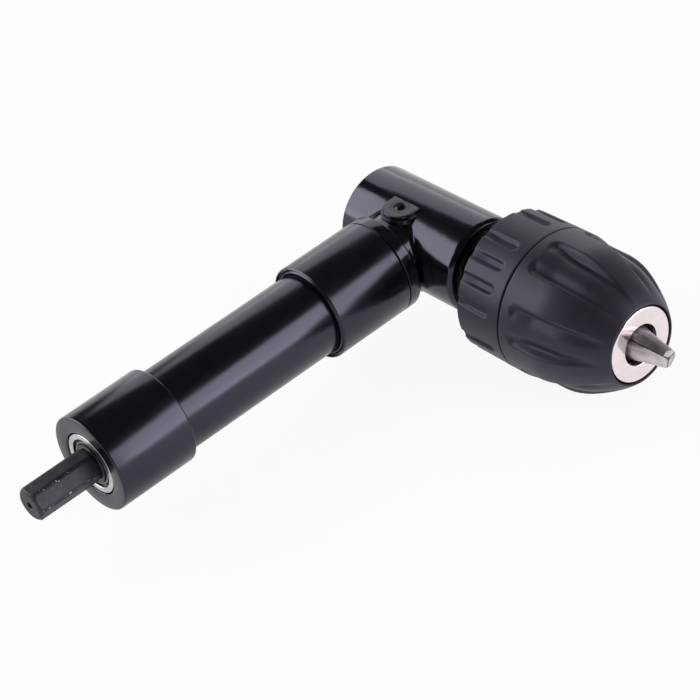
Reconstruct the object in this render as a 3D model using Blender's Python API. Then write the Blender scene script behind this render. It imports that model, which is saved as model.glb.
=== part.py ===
# Right angle drill adapter with a keyless three-jaw chuck.
# The chuck points along +X and the shank along -Y, and the origin is the centre of the base.
# Lengths are in metres.
import math

import bmesh
import bpy
from mathutils import Matrix, Vector

# Clearances
SEAT_GAP = 0.0002
RUN_GAP = 0.0003

# Barrel, with stations measured from the crossing of the shaft lines towards the shank
NECK_RADIUS = 0.0110
NECK_LENGTH = 0.0128
BAND_WALL = 0.00157
BAND_LENGTH = 0.0035
SLEEVE_LENGTH = 0.0222
TUBE_RADIUS = 0.01078
TUBE_WALL = 0.0016
TUBE_EXPOSED = 0.0468
COLLAR_WALL = 0.00157
COLLAR_LENGTH = 0.0217
COLLAR_SOCKET = 0.0136
EDGE_CHAMFER = 0.0005
SPIGOT_LENGTH = 0.0122
SPIGOT_WALL = 0.00108
REAR_SHOULDER_WIDTH = 0.0008
SPACER_WALL = 0.0015

# Input shaft
SHANK_FLATS = 0.0080
SHANK_EXPOSED = 0.01775
SHANK_CORNER_RADIUS = 0.00435
SHANK_CHAMFER = 0.0008
SHANK_END_RADIUS = 0.0037
CENTRE_HOLE_RADIUS = 0.0009
CENTRE_HOLE_DEPTH = 0.0018
SHAFT_RADIUS = 0.0038
PINION_SEAT_RADIUS = 0.0030
SHAFT_SHOULDER_RADIUS = 0.0050

# Ball bearings
REAR_BEARING_RADIUS = 0.0080
REAR_BEARING_WIDTH = 0.0050
REAR_PITCH_RADIUS = 0.0056
REAR_BALL_RADIUS = 0.0008
FRONT_BEARING_WIDTH = 0.0060
FRONT_BALL_RADIUS = 0.0014
FRONT_BEARING_START = 0.0185
SPINDLE_BEARING_RADIUS = 0.0110
SPINDLE_BEARING_WIDTH = 0.0060
SPINDLE_BALL_RADIUS = 0.0015
SPINDLE_BEARING_START = 0.0149
BALLS_PER_BEARING = 7
BEARING_LAND_SHARE = 0.69
CAGE_WIDTH_SHARE = 0.8
SHIELD_THICKNESS = 0.0003
SHIELD_RECESS = 0.0003

# Bevel gears, equal in size, with the tip of both pitch cones at the origin
GEAR_TEETH = 12
PITCH_RADIUS = 0.0076
FACE_WIDTH = 0.0028
PRESSURE_ANGLE = math.radians(20)
ADDENDUM_SHARE = 1.0
DEDENDUM_SHARE = 1.25
BACKLASH = 0.00028
GEAR_BACK = 0.0118
GEAR_HUB_RADIUS = 0.0056
PINION_FRONT = 0.0058

# Gear head, with stations along the chuck's axis
HEAD_RADIUS = 0.01245
HEAD_REAR = -0.0166
HEAD_FRONT = 0.0227
HEAD_CHAMFER = 0.0010
HEAD_CHAMFER_DEPTH = 0.0007
GEAR_CHAMBER_RADIUS = 0.0096
BUSH_RADIUS = 0.0060
BUSH_LENGTH = 0.0054
BUSH_REAR = -0.0130
RING_THICKNESS = 0.0008
RING_DEPTH = 0.0005
RING_INNER_RADIUS = 0.0099
RING_MOUTH = math.radians(36)

# Lug with the grease port, above the pinion; its square back runs into the round head
LUG_STATION = 0.0056
LUG_RADIUS = 0.0044
LUG_BACK_STATION = 0.0026
LUG_TOP = 0.0119
LUG_STEP = 0.0007
LUG_STEP_WIDTH = 0.0007
GREASE_SCREW_RADIUS = 0.0024
GREASE_SCREW_LENGTH = 0.0022
GREASE_SCREW_RECESS = 0.0007
GREASE_SOCKET_FLATS = 0.0025
GREASE_SOCKET_DEPTH = 0.0012

# Output spindle
SPINDLE_REAR_RADIUS = 0.0035
SPINDLE_SHOULDER_RADIUS = 0.0062
SPINDLE_JOURNAL_RADIUS = 0.0048
THREAD_RADIUS = 0.0047
THREAD_LENGTH = 0.0160
COLLAR_FLANGE_RADIUS = 0.0096
COLLAR_FLANGE_LENGTH = 0.0064
CHUCK_SCREW_RADIUS = 0.0025
CHUCK_SCREW_LENGTH = 0.0140
CHUCK_SCREW_HEAD_RADIUS = 0.0040
CHUCK_SCREW_HEAD_LENGTH = 0.0024

# Chuck, with stations along its axis
GRIP_REAR = 0.0309
GRIP_SPLIT = 0.0446
GRIP_SPLIT_GAP = 0.0004
NOSE_STATION = 0.0735
GRIP_TAPER = 0.0002
GRIP_EDGE = 0.0003
NOSE_RING_RADIUS = 0.00962
NOSE_RING_ROUND = 0.0006
NOSE_RING_LIP = 0.0011
NOSE_SEAT_DEPTH = 0.0020
NOSE_HOLE_RADIUS = 0.00523
NOSE_GAP = 0.00035
NOSE_LIP = 0.0007

# Grip slots of the rear ring, in groups of four
SLOT_GROUPS = 4
SLOTS_PER_GROUP = 4
SLOT_PITCH = math.radians(18.9)
SLOT_GROUP_ANGLE = math.radians(135.0)
SLOT_WIDTH = 0.0031
SLOT_DEPTH = 0.0011
SLOT_FRONT = 0.0417
SLOT_FLOOR_SHARE = 0.8

# Flutes of the front sleeve
FLUTES = 6
FLUTE_ANGLE = math.radians(102.7)
FLUTE_HALF_ANGLE = math.radians(17.5)
FLUTE_WALL_ANGLE = math.radians(6.0)
FLUTE_CORNER_SHARE = 2.0
FLUTE_START = 0.0474
FLUTE_REAR_DEPTH = 0.0002
FLUTE_FLOOR_SLOPE = 0.0886
NOSE_TANGENT = 0.0640
LAND_END = 0.0610
LAND_MEET_SETBACK = 0.0035

# Inside of the chuck
BODY_REAR_RADIUS = 0.0085
BODY_FLANGE_RADIUS = 0.0120
BODY_FLANGE_LENGTH = 0.0037
BODY_FLANGE_SETBACK = 0.0007
BODY_HUB_RADIUS = 0.0090
BODY_SHOULDER_REAR = 0.0452
BODY_SHOULDER_LENGTH = 0.0057
BODY_FRONT_RADIUS = 0.0122
BODY_FRONT_LENGTH = 0.0026
BODY_NOSE_RADIUS = 0.0079
BODY_WEB_THICKNESS = 0.0030
JAW_CLEARANCE = 0.0010
RING_WEB_THICKNESS = 0.0034
NUT_LENGTH = 0.0061
NUT_WALL = 0.0030
SHELL_WALL = 0.0013
SLEEVE_WALL = 0.0032
SHELL_LIP = 0.0008
THRUST_WASHER_THICKNESS = 0.0008
THRUST_BALL_RADIUS = 0.0008
THRUST_BALLS = 9
THRUST_WIDTH = 0.0025
CAGE_THICKNESS = 0.0006

# Jaws
JAW_COUNT = 3
JAW_RADIUS = 0.0030
JAW_TILT = math.radians(15.5)
JAW_ANGLE = math.radians(71.0)
JAW_TIP_STATION = 0.0820
JAW_TIP_RADIUS = 0.0023
JAW_LENGTH = 0.0299
JAW_TRAVEL = 0.0172
JAW_FACE_GAP = 0.00013
JAW_EDGE_FLAT = 0.0004
JAW_TIP_CHAMFER = 0.0007
JAW_NOSE_SLOPE = 0.19
JAW_NOSE_LENGTH = 0.0110

# Facets round each kind of turned piece
LARGE_FACETS = 24
MEDIUM_FACETS = 18
SMALL_FACETS = 16
GUIDE_SIZE = 0.01


def make_material(name, colour, roughness, metallic):
    material = bpy.data.materials.new(name)
    material.use_nodes = True
    shader = material.node_tree.nodes["Principled BSDF"]
    shader.inputs["Base Color"].default_value = (*colour, 1.0)
    shader.inputs["Roughness"].default_value = roughness
    shader.inputs["Metallic"].default_value = metallic
    material.diffuse_color = (*colour, 1.0)
    return material


def make_empty(name, matrix, parent=None):
    # An empty whose local X axis is the axis of the pieces parented to it.
    empty = bpy.data.objects.new(name, None)
    empty.empty_display_size = GUIDE_SIZE
    bpy.context.scene.collection.objects.link(empty)
    empty.parent = parent
    empty.matrix_local = matrix
    return empty


def make_object(name, bm, material, parent, station=0.0):
    # Closes a bmesh into a named object at a station on its parent's X axis.
    bmesh.ops.recalc_face_normals(bm, faces=bm.faces)
    if bm.calc_volume(signed=True) < 0:
        bmesh.ops.reverse_faces(bm, faces=bm.faces)
    mesh = bpy.data.meshes.new(name)
    bm.to_mesh(mesh)
    bm.free()
    mesh.shade_smooth()
    mesh.set_sharp_from_angle(angle=math.radians(35))
    obj = bpy.data.objects.new(name, mesh)
    bpy.context.scene.collection.objects.link(obj)
    obj.parent = parent
    obj.location = (station, 0.0, 0.0)
    if material:
        mesh.materials.append(material)
    return obj


def turned(name, outline, material, parent, facets=SMALL_FACETS, ring=False):
    # Spins an outline of (station, radius) points about the local X axis.
    # A ring's outline is closed; any other starts and ends on the axis.
    origin = outline[0][0]
    bm = bmesh.new()
    points = [bm.verts.new((station - origin, radius, 0.0)) for station, radius in outline]
    edges = [bm.edges.new(pair) for pair in zip(points, points[1:])]
    if ring:
        edges.append(bm.edges.new((points[-1], points[0])))
    bmesh.ops.spin(
        bm, geom=points + edges, cent=(0, 0, 0), axis=(1, 0, 0),
        angle=math.tau, steps=facets, use_merge=True,
    )
    bmesh.ops.remove_doubles(bm, verts=bm.verts, dist=1e-6)
    return make_object(name, bm, material, parent, origin)


def lofted(name, sections, material, parent, ring=False):
    # Joins sections that have equally many points; a ring's last section meets its first.
    bm = bmesh.new()
    rows = [[bm.verts.new(point) for point in section] for section in sections]
    pairs = list(zip(rows, rows[1:]))
    if ring:
        pairs.append((rows[-1], rows[0]))
    for row, following in pairs:
        for index in range(len(row)):
            after = (index + 1) % len(row)
            bm.faces.new((row[index], row[after], following[after], following[index]))
    if not ring:
        bm.faces.new(rows[0])
        bm.faces.new(rows[-1])
    return make_object(name, bm, material, parent)


def round_section(station, radius, facets=SMALL_FACETS):
    return polar_section(station, lambda angle: radius, even_angles(facets))


def even_angles(facets):
    return [math.tau * index / facets for index in range(facets)]


def polar_section(station, radius_at, angles):
    # A section across the local X axis whose radius depends on the angle.
    return [
        (station, radius_at(angle) * math.cos(angle), radius_at(angle) * math.sin(angle))
        for angle in angles
    ]


def hex_radius(flats, limit):
    # The radius of a hexagon at each angle, with its corners turned down to a limit.
    def radius_at(angle):
        from_flat = (angle % (math.pi / 3)) - math.pi / 6
        return min(limit, flats / 2 / math.cos(from_flat))
    return radius_at


def combine(target, tool, operation):
    # Cuts or joins with another object, which stays as a hidden guide.
    modifier = target.modifiers.new(tool.name, "BOOLEAN")
    modifier.object = tool
    modifier.operation = operation
    modifier.solver = "EXACT"
    tool.hide_render = True
    tool.display_type = "WIRE"


def add_ball_cage(name, station, pitch_radius, ball, count, half_width, half_depth, parent):
    # A cage with its balls, joined because they travel round together; each ball sits in one flat.
    cage = turned(name, [
        (station - half_width, pitch_radius - half_depth), (station - half_width, pitch_radius + half_depth),
        (station + half_width, pitch_radius + half_depth), (station + half_width, pitch_radius - half_depth),
    ], bearing_steel, parent, 2 * count, ring=True)
    bm = bmesh.new()
    for index in range(count):
        angle = math.tau * (index + 0.25) / count
        place = Matrix.Translation((station, pitch_radius * math.cos(angle), pitch_radius * math.sin(angle)))
        bmesh.ops.create_icosphere(bm, subdivisions=1, radius=ball, matrix=place)
    balls = make_object(name + "_ball_form", bm, None, parent)
    combine(cage, balls, "UNION")


def add_bearing(prefix, start, radii, width, ball, shields, fixed_line, turning_line, facets):
    # A deep-groove bearing: two races with their grooves, a ring of balls and, on some, two shields.
    bore, pitch, outer = radii
    end = start + width
    middle = (start + end) / 2
    groove = ball + RUN_GAP
    land = ball * BEARING_LAND_SHARE
    half_mouth = math.sqrt(groove ** 2 - land ** 2)
    outer_land = pitch + land
    inner_land = pitch - land
    turned(prefix + "_outer_race", [
        (start, outer_land), (start, outer), (end, outer), (end, outer_land),
        (middle + half_mouth, outer_land), (middle + half_mouth / 2, pitch + groove),
        (middle - half_mouth / 2, pitch + groove), (middle - half_mouth, outer_land),
    ], bearing_steel, fixed_line, facets, ring=True)
    turned(prefix + "_inner_race", [
        (start, bore), (end, bore), (end, inner_land),
        (middle + half_mouth, inner_land), (middle + half_mouth / 2, pitch - groove),
        (middle - half_mouth / 2, pitch - groove), (middle - half_mouth, inner_land),
        (start, inner_land),
    ], bearing_steel, turning_line, facets, ring=True)
    cage_half_width = (width / 2 - SHIELD_RECESS - SHIELD_THICKNESS - SEAT_GAP) * CAGE_WIDTH_SHARE
    add_ball_cage(prefix + "_ball_cage", middle, pitch, ball, BALLS_PER_BEARING, cage_half_width,
                  CAGE_THICKNESS / 4, fixed_line)
    if shields:
        faces = (start + SHIELD_RECESS, end - SHIELD_RECESS - SHIELD_THICKNESS)
        for face, side in zip(faces, ("inner", "outer")):
            turned(f"{prefix}_{side}_shield", [
                (face, inner_land + SEAT_GAP), (face, outer_land - SEAT_GAP),
                (face + SHIELD_THICKNESS, outer_land - SEAT_GAP), (face + SHIELD_THICKNESS, inner_land + SEAT_GAP),
            ], shield_steel, fixed_line, facets, ring=True)


def involute(angle):
    return math.tan(angle) - angle


def add_bevel_gear(name, bore, first_tooth, parent):
    # A straight bevel gear whose flanks are involutes on the back cone, shrinking to the cone's tip.
    cone = math.radians(45)
    module = 2 * PITCH_RADIUS / GEAR_TEETH
    cone_distance = PITCH_RADIUS / math.sin(cone)
    virtual_radius = PITCH_RADIUS / math.cos(cone)
    virtual_teeth = GEAR_TEETH / math.cos(cone)
    base_radius = virtual_radius * math.cos(PRESSURE_ANGLE)
    toe_scale = (cone_distance - FACE_WIDTH) / cone_distance
    heights = (-DEDENDUM_SHARE * module, 0.0, ADDENDUM_SHARE * module)

    def flank_point(height, tooth_angle, side):
        radius = max(virtual_radius + height, base_radius)
        pressure = math.acos(base_radius / radius)
        half = math.pi / (2 * virtual_teeth) + involute(PRESSURE_ANGLE) - involute(pressure)
        from_axis = PITCH_RADIUS + height * math.cos(cone)
        angle = tooth_angle + side * (half / math.cos(cone) - BACKLASH / 4 / from_axis)
        station = PITCH_RADIUS / math.tan(cone) - height * math.sin(cone)
        return Vector((station, from_axis * math.cos(angle), from_axis * math.sin(angle)))

    heel = []
    for tooth in range(GEAR_TEETH):
        tooth_angle = first_tooth + math.tau * tooth / GEAR_TEETH
        heel += [flank_point(height, tooth_angle, -1) for height in heights]
        heel += [flank_point(height, tooth_angle, 1) for height in reversed(heights)]
    toe = [point * toe_scale for point in heel]
    angles = [math.atan2(point.z, point.y) for point in heel]
    toe_station = (PITCH_RADIUS - heights[0] * math.sin(cone)) * toe_scale - SEAT_GAP

    def circle(station, radius):
        return polar_section(station, lambda angle: radius, angles)

    return lofted(name, [
        circle(GEAR_BACK, bore), circle(GEAR_BACK, GEAR_HUB_RADIUS), heel, toe, circle(toe_station, bore),
    ], gear_steel, parent, ring=True)


def add_gear_head():
    head = turned("gear_head_housing", [
        (HEAD_REAR, 0.0), (HEAD_REAR, HEAD_RADIUS - EDGE_CHAMFER), (HEAD_REAR + EDGE_CHAMFER, HEAD_RADIUS),
        (HEAD_FRONT - HEAD_CHAMFER, HEAD_RADIUS), (HEAD_FRONT, HEAD_RADIUS - HEAD_CHAMFER_DEPTH), (HEAD_FRONT, 0.0),
    ], painted_casting, spindle_line, LARGE_FACETS)
    neck = turned("neck_form", [
        (0.0, 0.0), (0.0, NECK_RADIUS), (band_start, NECK_RADIUS), (band_start + EDGE_CHAMFER, band_radius),
        (band_end, band_radius), (band_end, TUBE_RADIUS), (spigot_end, TUBE_RADIUS), (spigot_end, 0.0),
    ], None, barrel_line, LARGE_FACETS)
    combine(head, neck, "UNION")
    combine(head, lug_form(), "UNION")
    chamber = turned("head_chamber", [
        (BUSH_REAR - SEAT_GAP, 0.0), (BUSH_REAR - SEAT_GAP, BUSH_RADIUS + SEAT_GAP),
        (bush_front + SEAT_GAP, BUSH_RADIUS + SEAT_GAP), (bush_front + SEAT_GAP, GEAR_CHAMBER_RADIUS),
        (SPINDLE_BEARING_START - SEAT_GAP, GEAR_CHAMBER_RADIUS), (SPINDLE_BEARING_START - SEAT_GAP, pocket_radius),
        (ring_start - SEAT_GAP, pocket_radius), (ring_start - SEAT_GAP, pocket_radius + RING_DEPTH),
        (ring_end + SEAT_GAP, pocket_radius + RING_DEPTH), (ring_end + SEAT_GAP, pocket_radius),
        (HEAD_FRONT + HEAD_CHAMFER, pocket_radius), (HEAD_FRONT + HEAD_CHAMFER, 0.0),
    ], None, spindle_line, LARGE_FACETS)
    combine(head, chamber, "DIFFERENCE")
    bore = turned("neck_bore", [
        (0.0, 0.0), (0.0, pinion_bore), (FRONT_BEARING_START - SEAT_GAP, pinion_bore),
        (FRONT_BEARING_START - SEAT_GAP, front_bearing_radius + SEAT_GAP),
        (spigot_end + EDGE_CHAMFER, front_bearing_radius + SEAT_GAP), (spigot_end + EDGE_CHAMFER, 0.0),
    ], None, barrel_line, LARGE_FACETS)
    combine(head, bore, "DIFFERENCE")
    port = turned("grease_port", [
        (0.0, 0.0), (0.0, GREASE_SCREW_RADIUS + SEAT_GAP),
        (LUG_TOP + EDGE_CHAMFER, GREASE_SCREW_RADIUS + SEAT_GAP), (LUG_TOP + EDGE_CHAMFER, 0.0),
    ], None, port_line)
    combine(head, port, "DIFFERENCE")
    screw_top = LUG_TOP - GREASE_SCREW_RECESS
    socket = hex_radius(GREASE_SOCKET_FLATS, GREASE_SCREW_RADIUS)
    angles = even_angles(SMALL_FACETS)
    lofted("grease_screw", [
        round_section(screw_top - GREASE_SCREW_LENGTH, GREASE_SCREW_RADIUS - EDGE_CHAMFER),
        round_section(screw_top - GREASE_SCREW_LENGTH + EDGE_CHAMFER, GREASE_SCREW_RADIUS),
        round_section(screw_top - SEAT_GAP, GREASE_SCREW_RADIUS),
        round_section(screw_top, GREASE_SCREW_RADIUS - SEAT_GAP),
        polar_section(screw_top, socket, angles),
        polar_section(screw_top - GREASE_SOCKET_DEPTH, socket, angles),
    ], oxide_steel, port_line)


def lug_form():
    # The U-shaped lug: a round front about its centre and a square back, on a slightly wider foot.
    steps = 12

    def outline(height, grow):
        radius = LUG_RADIUS + grow
        points = []
        for index in range(steps + 1):
            angle = math.pi + math.pi * index / steps
            points.append((radius * math.cos(angle), radius * math.sin(angle) - LUG_STATION, height))
        points.append((radius, -LUG_BACK_STATION, height))
        points.append((-radius, -LUG_BACK_STATION, height))
        return points

    foot = LUG_TOP - LUG_STEP
    return lofted("lug_form", [
        outline(GEAR_CHAMBER_RADIUS - LUG_RADIUS / 2, LUG_STEP_WIDTH), outline(foot, LUG_STEP_WIDTH),
        outline(foot, 0.0), outline(LUG_TOP - EDGE_CHAMFER, 0.0), outline(LUG_TOP, -EDGE_CHAMFER),
    ], None, crossing)


def add_barrel():
    turned("barrel_sleeve", [
        (sleeve_start, socket_radius), (sleeve_start, band_radius - SEAT_GAP),
        (sleeve_start + SEAT_GAP, band_radius), (sleeve_end - EDGE_CHAMFER, band_radius),
        (sleeve_end, band_radius - EDGE_CHAMFER), (sleeve_end, socket_radius + EDGE_CHAMFER / 2),
        (sleeve_end - EDGE_CHAMFER, socket_radius),
    ], painted_steel, barrel_line, LARGE_FACETS, ring=True)
    turned("barrel_tube", [
        (tube_start, TUBE_RADIUS - TUBE_WALL), (tube_start, TUBE_RADIUS),
        (tube_end, TUBE_RADIUS), (tube_end, TUBE_RADIUS - TUBE_WALL),
    ], painted_steel, barrel_line, LARGE_FACETS, ring=True)
    turned("rear_collar", [
        (collar_start, socket_radius), (collar_start, collar_radius - EDGE_CHAMFER),
        (collar_start + EDGE_CHAMFER, collar_radius), (collar_end - EDGE_CHAMFER, collar_radius),
        (collar_end, collar_radius - EDGE_CHAMFER), (collar_end, rear_pocket),
        (rear_bearing_start - SEAT_GAP, rear_pocket), (rear_bearing_start - SEAT_GAP, rear_shoulder),
        (tube_end + SEAT_GAP, rear_shoulder), (tube_end + SEAT_GAP, socket_radius),
    ], painted_steel, barrel_line, LARGE_FACETS, ring=True)
    turned("bearing_spacer", [
        (spacer_start, spacer_bore), (spacer_start, front_bearing_radius),
        (spacer_end, front_bearing_radius), (spacer_end, spacer_bore),
    ], bearing_steel, barrel_line, ring=True)
    rear_radii = (shaft_bore, REAR_PITCH_RADIUS, REAR_BEARING_RADIUS)
    add_bearing("rear_bearing", rear_bearing_start, rear_radii, REAR_BEARING_WIDTH, REAR_BALL_RADIUS, True,
                barrel_line, input_line, MEDIUM_FACETS)
    front_radii = (shaft_bore, (shaft_bore + front_bearing_radius) / 2, front_bearing_radius)
    add_bearing("front_bearing", FRONT_BEARING_START, front_radii, FRONT_BEARING_WIDTH, FRONT_BALL_RADIUS,
                False, barrel_line, input_line, SMALL_FACETS)


def add_input_shaft():
    corner = math.pi / 6 - math.acos(SHANK_FLATS / 2 / SHANK_CORNER_RADIUS)
    angles = []
    for side in range(6):
        start = math.pi / 3 * side
        angles += [start - corner, start + corner, start + math.pi / 6]
    hexagon = hex_radius(SHANK_FLATS, SHANK_CORNER_RADIUS)

    def circle(station, radius):
        return polar_section(station, lambda angle: radius, angles)

    lofted("input_shaft", [
        circle(PINION_FRONT, PINION_SEAT_RADIUS), circle(GEAR_BACK + SEAT_GAP, PINION_SEAT_RADIUS),
        circle(GEAR_BACK + SEAT_GAP, SHAFT_SHOULDER_RADIUS),
        circle(FRONT_BEARING_START - SEAT_GAP, SHAFT_SHOULDER_RADIUS),
        circle(FRONT_BEARING_START - SEAT_GAP, SHAFT_RADIUS), circle(hex_start, SHAFT_RADIUS),
        polar_section(hex_start, hexagon, angles), polar_section(shank_end - SHANK_CHAMFER, hexagon, angles),
        circle(shank_end, SHANK_END_RADIUS), circle(shank_end, CENTRE_HOLE_RADIUS),
        circle(shank_end - CENTRE_HOLE_DEPTH, CENTRE_HOLE_RADIUS),
    ], oxide_steel, input_line)
    add_bevel_gear("pinion_gear", PINION_SEAT_RADIUS + SEAT_GAP, 0.0, input_line)


def add_spindle():
    turned("output_spindle", [
        (spindle_rear, 0.0), (spindle_rear, SPINDLE_REAR_RADIUS), (GEAR_BACK + SEAT_GAP, SPINDLE_REAR_RADIUS),
        (GEAR_BACK + SEAT_GAP, SPINDLE_SHOULDER_RADIUS),
        (SPINDLE_BEARING_START - SEAT_GAP, SPINDLE_SHOULDER_RADIUS),
        (SPINDLE_BEARING_START - SEAT_GAP, SPINDLE_JOURNAL_RADIUS),
        (spindle_bearing_end, SPINDLE_JOURNAL_RADIUS), (spindle_bearing_end, THREAD_RADIUS),
        (spindle_front, THREAD_RADIUS), (spindle_front, screw_hole), (screw_hole_end, screw_hole),
        (screw_hole_end, 0.0),
    ], oxide_steel, chuck_line)
    add_bevel_gear("output_gear", SPINDLE_REAR_RADIUS + SEAT_GAP, math.pi + math.pi / GEAR_TEETH, chuck_line)
    turned("spindle_collar", [
        (collar_rear, thread_bore), (collar_rear, SPINDLE_SHOULDER_RADIUS),
        (flange_rear, SPINDLE_SHOULDER_RADIUS), (flange_rear, COLLAR_FLANGE_RADIUS - EDGE_CHAMFER),
        (flange_rear + EDGE_CHAMFER, COLLAR_FLANGE_RADIUS),
        (flange_front - EDGE_CHAMFER, COLLAR_FLANGE_RADIUS), (flange_front, COLLAR_FLANGE_RADIUS - EDGE_CHAMFER),
        (flange_front, thread_bore),
    ], oxide_steel, chuck_line, MEDIUM_FACETS, ring=True)
    turned("spindle_bush", [
        (BUSH_REAR, SPINDLE_REAR_RADIUS + SEAT_GAP), (BUSH_REAR, BUSH_RADIUS), (bush_front, BUSH_RADIUS),
        (bush_front, SPINDLE_REAR_RADIUS + SEAT_GAP),
    ], bronze, spindle_line, ring=True)
    journal_bore = SPINDLE_JOURNAL_RADIUS + SEAT_GAP
    spindle_radii = (journal_bore, (journal_bore + SPINDLE_BEARING_RADIUS) / 2, SPINDLE_BEARING_RADIUS)
    add_bearing("spindle_bearing", SPINDLE_BEARING_START, spindle_radii, SPINDLE_BEARING_WIDTH,
                SPINDLE_BALL_RADIUS, True, spindle_line, chuck_line, SMALL_FACETS)
    add_retaining_ring()


def add_retaining_ring():
    # An internal retaining ring, open at the bottom, in the groove of the head.
    steps = 20
    outer = pocket_radius + RING_DEPTH - SEAT_GAP
    sections = []
    for index in range(steps + 1):
        angle = -math.pi / 2 + RING_MOUTH / 2 + (math.tau - RING_MOUTH) * index / steps
        across = Vector((0.0, math.cos(angle), math.sin(angle)))
        corners = (
            (ring_start, RING_INNER_RADIUS), (ring_start, outer), (ring_end, outer),
            (ring_end, RING_INNER_RADIUS),
        )
        sections.append([Vector((station, 0.0, 0.0)) + across * radius for station, radius in corners])
    lofted("retaining_ring", sections, spring_steel, spindle_line)


def jaw_line_radius(station):
    # How far the axis of a jaw is from the chuck's axis at a station.
    return (jaw_crossing - station) * math.tan(JAW_TILT)


def jaw_outer_radius(station):
    return jaw_line_radius(station) + JAW_RADIUS / math.cos(JAW_TILT)


def add_chuck_body():
    body = turned("chuck_body", [
        (body_rear, thread_bore), (body_rear, BODY_REAR_RADIUS), (flange_start, BODY_REAR_RADIUS),
        (flange_start, BODY_FLANGE_RADIUS), (flange_end, BODY_FLANGE_RADIUS), (flange_end, BODY_HUB_RADIUS),
        (BODY_SHOULDER_REAR, BODY_HUB_RADIUS), (BODY_SHOULDER_REAR, shoulder_radius),
        (shoulder_front, shoulder_radius), (shoulder_front, groove_radius(shoulder_front)),
        (nut_end + RUN_GAP, groove_radius(nut_end)), (nut_end + RUN_GAP, BODY_FRONT_RADIUS),
        (front_taper_start, BODY_FRONT_RADIUS), (nose_seat, nose_seat_radius), (nose_seat, BODY_NOSE_RADIUS),
        (nose_lip - SEAT_GAP, BODY_NOSE_RADIUS), (nose_lip - SEAT_GAP, NOSE_HOLE_RADIUS),
        (web_front, NOSE_HOLE_RADIUS), (web_front, screw_hole), (web_rear, screw_hole), (web_rear, thread_bore),
    ], chuck_steel, chuck_line, SMALL_FACETS, ring=True)
    bore_back = (jaw_crossing - jaw_open_back) / math.cos(JAW_TILT) + RUN_GAP * 2
    for index, line in enumerate(jaw_lines):
        bore = turned(f"jaw_bore_{index + 1}", [
            (-bore_back, 0.0), (-bore_back, JAW_RADIUS + RUN_GAP), (JAW_RADIUS * 2, JAW_RADIUS + RUN_GAP),
            (JAW_RADIUS * 2, 0.0),
        ], None, line)
        combine(body, bore, "DIFFERENCE")
    turned("chuck_screw", [
        (screw_tip, 0.0), (screw_tip, CHUCK_SCREW_RADIUS), (web_front + SEAT_GAP, CHUCK_SCREW_RADIUS),
        (web_front + SEAT_GAP, CHUCK_SCREW_HEAD_RADIUS),
        (screw_head_front, CHUCK_SCREW_HEAD_RADIUS), (screw_head_front, 0.0),
    ], oxide_steel, chuck_line)
    rounding = [
        (NOSE_STATION - NOSE_RING_ROUND * (1 - math.sin(angle)),
         NOSE_RING_RADIUS - NOSE_RING_ROUND * (1 - math.cos(angle)))
        for angle in (0.0, math.pi / 4, math.pi / 2)
    ]
    turned("nose_ring", [
        (nose_seat + SEAT_GAP, BODY_NOSE_RADIUS + SEAT_GAP), (nose_seat + SEAT_GAP, NOSE_RING_RADIUS), *rounding,
        (NOSE_STATION, NOSE_HOLE_RADIUS + SEAT_GAP), (NOSE_STATION - SEAT_GAP, NOSE_HOLE_RADIUS),
        (nose_lip, NOSE_HOLE_RADIUS), (nose_lip, BODY_NOSE_RADIUS + SEAT_GAP),
    ], nickel, chuck_line, LARGE_FACETS, ring=True)


def groove_radius(station):
    # The body between shoulder and nut lies just under the backs of the jaws.
    return jaw_outer_radius(station) - 2 * RUN_GAP


def slot_depth(station, angle):
    # How deep the rear ring is scooped at a point: round channels, open to the rear.
    deepest = 0.0
    for group in range(SLOT_GROUPS):
        for index in range(SLOTS_PER_GROUP):
            centre = SLOT_GROUP_ANGLE + math.tau * group / SLOT_GROUPS
            centre += (index - (SLOTS_PER_GROUP - 1) / 2) * SLOT_PITCH
            across = math.remainder(angle - centre, math.tau) * grip_rear_radius
            along = max(0.0, station - (SLOT_FRONT - SLOT_WIDTH / 2))
            share = math.hypot(across, along) / (SLOT_WIDTH / 2)
            if share < 1.0:
                deepest = max(deepest, SLOT_DEPTH * math.sqrt(1.0 - share ** 4))
    return deepest


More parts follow.
